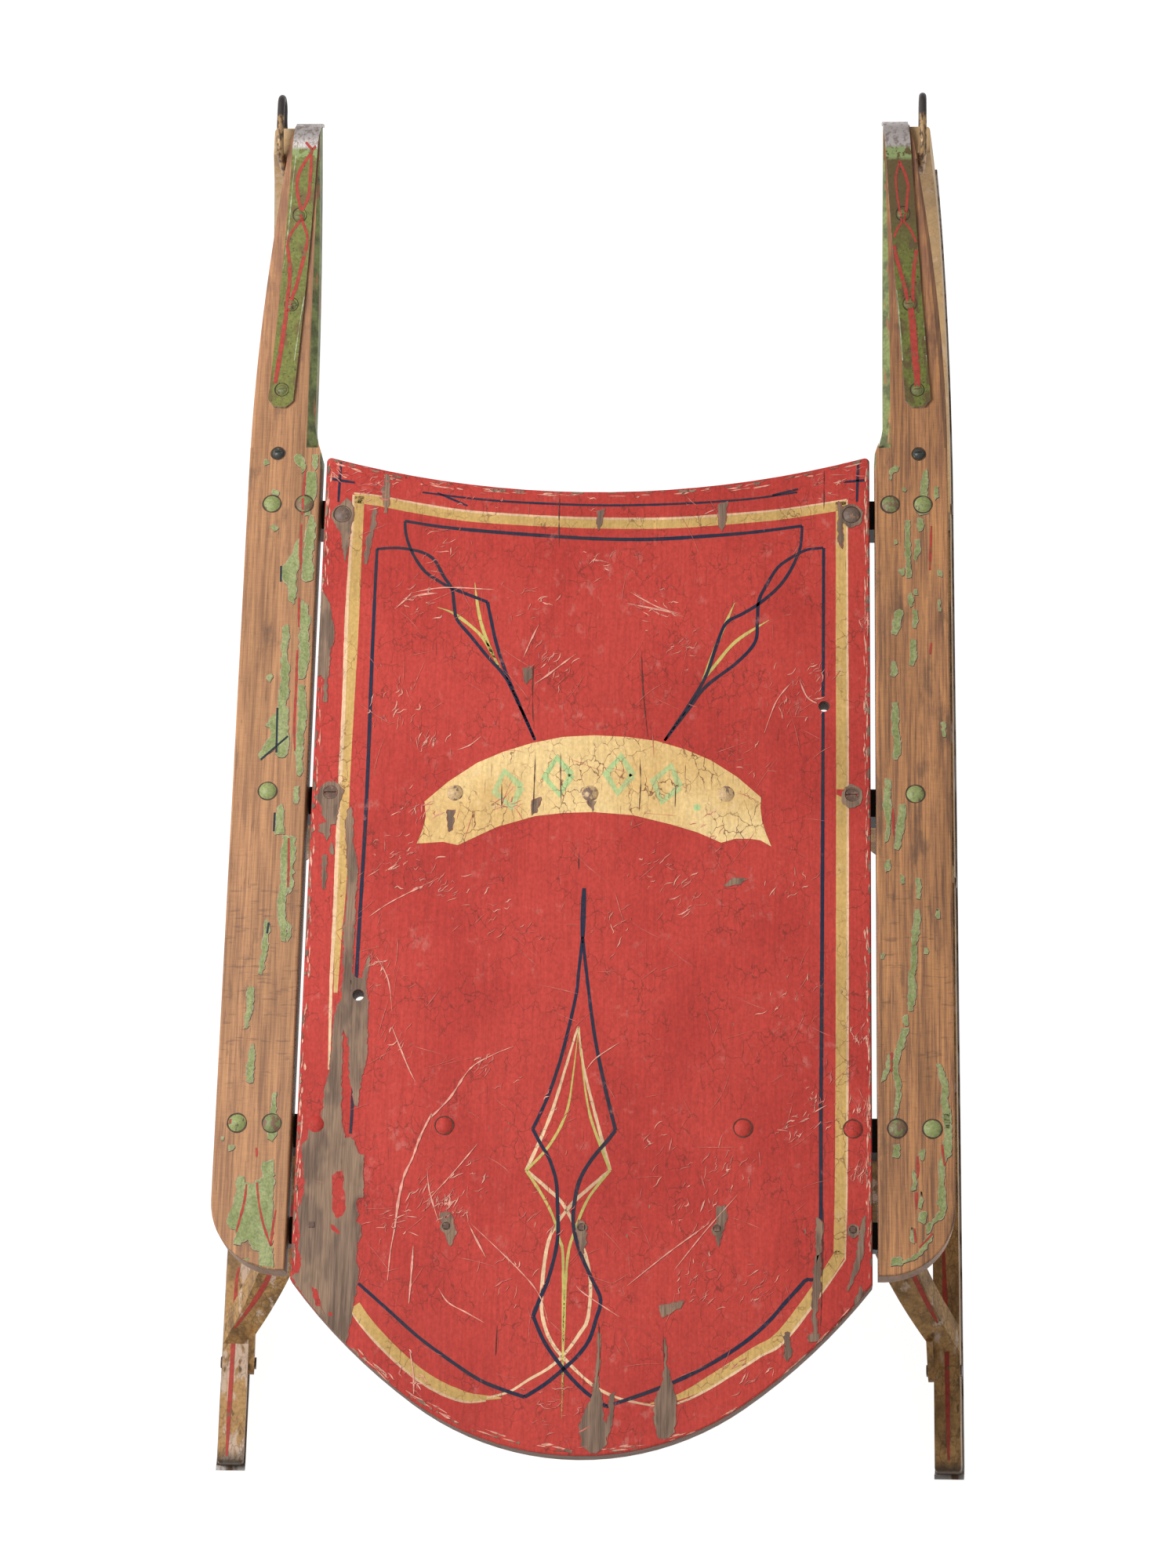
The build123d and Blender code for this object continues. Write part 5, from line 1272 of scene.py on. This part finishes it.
for (ax, ay), (bx, by) in zip(RIM, RIM[1:]):
    along = Vector((bx - ax, by - ay))
    inward = Vector((-along.y, along.x)).normalized()
    reach, went = along.length, 0.0
    while went < reach:
        went += chance.uniform(2.0, 16.0)
        long, deep = chance.uniform(2.0, 9.0), chance.choice(CHIP_DEPTHS)
        if went + long > reach:
            break
        start = Vector((ax, ay)) + along.normalized() * went
        shape = [(start + along.normalized() * long * t + inward * deep * d)[:] for t, d in CHIP_SHAPE]
        lost.patch(roughened(shape, 0.5, gap=1.0, seed=went))
    # pale strokes just inside the rim: worn paint, and a painted highlight along the edge
    went = 0.0
    while went < reach:
        went += chance.uniform(1.0, 9.0)
        long, inset = chance.uniform(2.0, 14.0), chance.uniform(0.5, 3.2)
        if went + long > reach:
            break
        start = Vector((ax, ay)) + along.normalized() * went + inward * inset
        drift = inward * chance.uniform(-0.8, 0.8)
        rim_wear_and_highlight.stroke([(start + along.normalized() * long * t + drift * t)[:] for t in (0, 0.5, 1)],
                    chance.uniform(0.3, 1.0), ends=(0.1, 0.1), gap=1.5, waver=1.5)
lost.make("deck_bare_patches", bare_wood, "deck_paint")
rim_wear_and_highlight.make("deck_rim_wear_and_highlight", plain_paint("rim_wear_highlight", (0.74, 0.36, 0.26), patchy=1.6), "deck_paint")
lost_edge.make("deck_broken_edges", plain_paint("broken_edge", (0.30, 0.10, 0.075), patchy=1.8), "deck_paint")

islands = Coat(deck_skin, lift=0.34)
for number, shape in enumerate(RED_ISLANDS):
    islands.patch(roughened(shape, 0.8, seed=80 + number))
islands.make("deck_red_islands", deck_red, "deck_paint")

seams = Coat(deck_skin, lift=0.36)
for line in SEAMS:
    seams.stroke(line, SEAM_WIDTH, ends=(0.1, 0.1), gap=3.0, waver=1.6)
seams.make("deck_seams", plain_paint("seam_dark", (0.10, 0.045, 0.032), patchy=1.4), "deck_paint")

PALE_SHARE = 0.35            # of the bundled scratches, cut deep enough to show pale
FAINT_SCRATCHES = 170
TAIL_MIDDLE, TAIL_REACH = -270, 158
pale = Coat(deck_skin, lift=0.40)
for width, line in LONG_SCRATCHES:
    pale.stroke(line, width, ends=(0.2, 0.2), gap=2.0, waver=1.3)
faint = Coat(deck_skin, lift=0.38)
for cx, cy, spread, angle, count in SCRATCH_BUNDLES:
    for _ in range(count):
        x, y = cx + chance.gauss(0, spread), cy + chance.gauss(0, spread)
        turn, reach = math.radians(angle + chance.gauss(0, 22)), chance.uniform(2, 9)
        line = [(x + reach * t * math.cos(turn) + chance.gauss(0, 0.5),
                 y + reach * t * math.sin(turn) + chance.gauss(0, 0.5)) for t in (0, 0.35, 0.7, 1)]
        drawn = pale if chance.random() < PALE_SHARE else faint
        drawn.stroke(line, chance.uniform(0.25, 0.7), ends=(0.1, 0.1), gap=1.5, waver=1.2)
for _ in range(FAINT_SCRATCHES):
    x, y = chance.uniform(-160, 160), chance.uniform(-400, 165)
    turn, reach = chance.gauss(0.6, 1.1), chance.uniform(4, 30)
    bow = chance.gauss(0, 0.12)
    if math.hypot(x, min(y - TAIL_MIDDLE, 0)) > TAIL_REACH:
        continue
    line = [(x + reach * t * math.cos(turn + bow * t), y + reach * t * math.sin(turn + bow * t))
            for t in (0, 0.33, 0.66, 1)]
    faint.stroke(line, chance.uniform(0.18, 0.36), ends=(0.1, 0.1), gap=3.0, waver=1.4)
pale.make("deck_scratches", plain_paint("scratch_pale", (0.78, 0.36, 0.27), patchy=1.2), "deck_paint")
faint.make("deck_faint_scratches", plain_paint("scratch_faint", (0.60, 0.16, 0.125), patchy=1.2),
           "deck_paint")

# ---------------------------------------------------------------- fasteners
# Domed bolts and pegs through rails, deck and benches, slotted screws, and cut nails.
# Heads were painted with the boards, so they keep green, cream or red, worn in patches and darker on their
# steep flanks.


def head_finish(name, paint, worn, share, rough=0.5):
    f = Finish(name)
    body = f.shade(paint, f.cloud(1.5, detail=4.0), 0.75, 1.25)
    body = f.blend(f.step(f.cloud((3, 5, 3), detail=5.0, shift=(2, 8, 1)), share, share + 0.08), body, worn)
    # the steep flanks of each head are darker
    rim = f.step(f.axis("Z", f.facing), 0.80, 0.55)
    body = f.blend(f.both(rim, 0.55), body, (0.06, 0.045, 0.03))
    return f.done(body, rough=rough, relief=f.cloud(1.0), depth=0.15, gloss=0.35)


dress(head_finish("bolt_green", (0.29, 0.33, 0.125), (0.14, 0.12, 0.06), 0.60), "rail_bolts")
dress(head_finish("peg_green", (0.22, 0.25, 0.10), (0.22, 0.13, 0.08), 0.47), "rail_pegs")
dress(head_finish("peg_wood", (0.17, 0.115, 0.09), (0.36, 0.20, 0.10), 0.58), "deck_pegs_front")
dress(head_finish("peg_cream", (0.60, 0.40, 0.20), (0.22, 0.14, 0.10), 0.50), "deck_pegs_middle")
dress(deck_red, "deck_pegs_rear")
dress(head_finish("screw_rust", (0.13, 0.07, 0.05), (0.24, 0.14, 0.10), 0.52), "deck_screws", "cleat_nails")
dress(head_finish("screw_iron", (0.055, 0.060, 0.055), (0.20, 0.20, 0.16), 0.60, rough=0.35),
      "rail_screw", "rail_nuts")
dress(head_finish("strap_screw", (0.17, 0.18, 0.065), (0.09, 0.06, 0.035), 0.56), "strap_screws")

RAIL_HEADS = [
    (-210.7, 169.85, 5.9), (-204.4, -27.65, 5.9), (-213.2, -243.85, 5.9), (-189.7, 169.85, 5.9),
    (-191.8, -243.85, 5.9), (-208.3, 205.45, 4.4), (210.7, 169.85, 5.9), (204.4, -27.65, 5.9),
    (213.2, -243.85, 5.9), (189.7, 169.85, 5.9), (191.8, -243.85, 5.9), (208.3, 205.45, 4.4)
]
DECK_HEADS = [
    (-164.7, 163.35, 5.5, 1.8), (164.7, 163.35, 5.5, 1.8), (-164.7, -27.65, 4.15, 3.4),
    (164.7, -27.65, 4.15, 2.6), (164.7, -243.85, 5.5, 0), (97.6, -243.85, 5.5, 0),
    (-85.6, -243.85, 5.5, 0), (-82.35, -306.75, 2, 1.6), (0, -306.75, 2, 1.6),
    (82.35, -306.75, 2, 1.4), (164.7, -306.75, 2, 1.8)
]
BOLT_LINES = [
    [(-216.9, -240), (-218, -247.2)],
    [(-190.5, 173.4), (-190.5, 162.2)],
    [(188.2, 172.7), (188.4, 162.1)],
    [(188.8, -237.6), (188.7, -245.7)]
]
RAIL_RING_WIDTH, DECK_RING_WIDTH, BOLT_LINE_WIDTH = 0.9, 0.6, 1.6
RING_CORNERS = 14
grime = {side: Coat(skin_of("rail_" + side), lift=0.13) for side in ("left", "right")}
for x, y, radius in RAIL_HEADS:
    grime["left" if x < 0 else "right"].ring((x, y), radius, RAIL_RING_WIDTH)
for side in grime:
    grime[side].make("rail_head_grime_" + side, dark_outline_and_shadow, "rail_wood")
deck_grime, head_rings = Coat(deck_skin, lift=0.44), Coat(deck_skin, lift=0.42)
for x, y, radius, bare in DECK_HEADS:
    if bare:
        wide, tall, below = radius + bare, radius + 1.4 * bare, 0.4 * bare
        worn_round = [(x + wide * math.cos(math.tau * i / RING_CORNERS),
                       y - below + tall * math.sin(math.tau * i / RING_CORNERS)) for i in range(RING_CORNERS)]
        head_rings.patch(roughened(worn_round, 1.2, seed=x * 0.1), hole=round_loop(x, y, radius))
    deck_grime.ring((x, y), radius + 0.2, DECK_RING_WIDTH)
deck_grime.make("deck_head_grime", dark_outline_and_shadow, "deck_paint")
head_rings.make("deck_bare_rings", bare_wood, "deck_paint")
bolt_line = Coat(skin_of("rail_bolts_left", "rail_bolts_right", "rail_pegs_left"), lift=0.12)
for line in BOLT_LINES:
    bolt_line.stroke(line, BOLT_LINE_WIDTH, gap=0.8)
bolt_line.make("bolt_stripes", stripe_red, "strap_paint")

# ---------------------------------------------------------------- studio
# A plain white floor, one broad soft lamp from the upper left and an even white surround.
FLOOR_HALF = 6.0
FLOOR_GLOW, FLOOR_GREY = 0.97, (0.15, 0.15, 0.15)
SURROUND = 0.34
LAMP_AT, LAMP_AIM = (-1.20, 0.10, 1.70), (0.0, 0.0, 0.1)
LAMP_ACROSS, LAMP_POWER = 1.1, 37.0
WHITE = (1.0, 1.0, 1.0)

floor_mesh = bpy.data.meshes.new("floor")
floor_mesh.from_pydata([(-FLOOR_HALF, -FLOOR_HALF, 0), (FLOOR_HALF, -FLOOR_HALF, 0),
                        (FLOOR_HALF, FLOOR_HALF, 0), (-FLOOR_HALF, FLOOR_HALF, 0)], [], [(0, 1, 2, 3)])
f = Finish("floor_white")
glow = f.add("ShaderNodeEmission")
matt = f.add("ShaderNodeBsdfDiffuse")
mixed = f.add("ShaderNodeAddShader")
f.feed(glow.inputs["Color"], WHITE)
glow.inputs["Strength"].default_value = FLOOR_GLOW
f.feed(matt.inputs["Color"], FLOOR_GREY)
f.feed(mixed.inputs[0], glow.outputs[0])
f.feed(mixed.inputs[1], matt.outputs[0])
f.feed(f.add("ShaderNodeOutputMaterial").inputs["Surface"], mixed.outputs[0])
floor_mesh.materials.append(f.material)
floor = bpy.data.objects.new("floor", floor_mesh)
bpy.context.scene.collection.objects.link(floor)

world = bpy.data.worlds.new("surround")
world.use_nodes = True
world.node_tree.nodes["Background"].inputs["Color"].default_value = (*WHITE, 1.0)
world.node_tree.nodes["Background"].inputs["Strength"].default_value = SURROUND
bpy.context.scene.world = world

light = bpy.data.lights.new("key", "AREA")
light.shape, light.size, light.energy = "DISK", LAMP_ACROSS, LAMP_POWER
lamp = bpy.data.objects.new("key", light)
lamp.location = LAMP_AT
lamp.rotation_euler = (Vector(LAMP_AIM) - Vector(LAMP_AT)).to_track_quat("-Z", "Y").to_euler()
bpy.context.scene.collection.objects.link(lamp)
bpy.context.scene.view_settings.view_transform = "Standard"

# ---------------------------------------------------------------- camera
# Looks down on the sled from behind its middle, slightly from the right, with a long lens.
PITCH, DRIFT, ROLL = math.radians(19.3), math.radians(2.84), math.radians(1.2)
CAMERA_AT = (0.1153, -0.8476, 2.5216)
LENS, SENSOR = 90.9, 36.0
back = Vector((math.sin(DRIFT) * math.cos(PITCH), -math.sin(PITCH), math.cos(PITCH) * math.cos(DRIFT)))
back.normalize()
level = Vector((0, 1, 0)).cross(back).normalized()
rise = back.cross(level)
right = math.cos(ROLL) * level + math.sin(ROLL) * rise
up = -math.sin(ROLL) * level + math.cos(ROLL) * rise
camera_data = bpy.data.cameras.new("camera")
camera_data.lens, camera_data.sensor_width, camera_data.sensor_fit = LENS, SENSOR, "AUTO"
camera = bpy.data.objects.new("camera", camera_data)
camera.matrix_world = Matrix.Translation(CAMERA_AT) @ Matrix((right, up, back)).transposed().to_4x4()
bpy.context.scene.collection.objects.link(camera)
bpy.context.scene.camera = camera
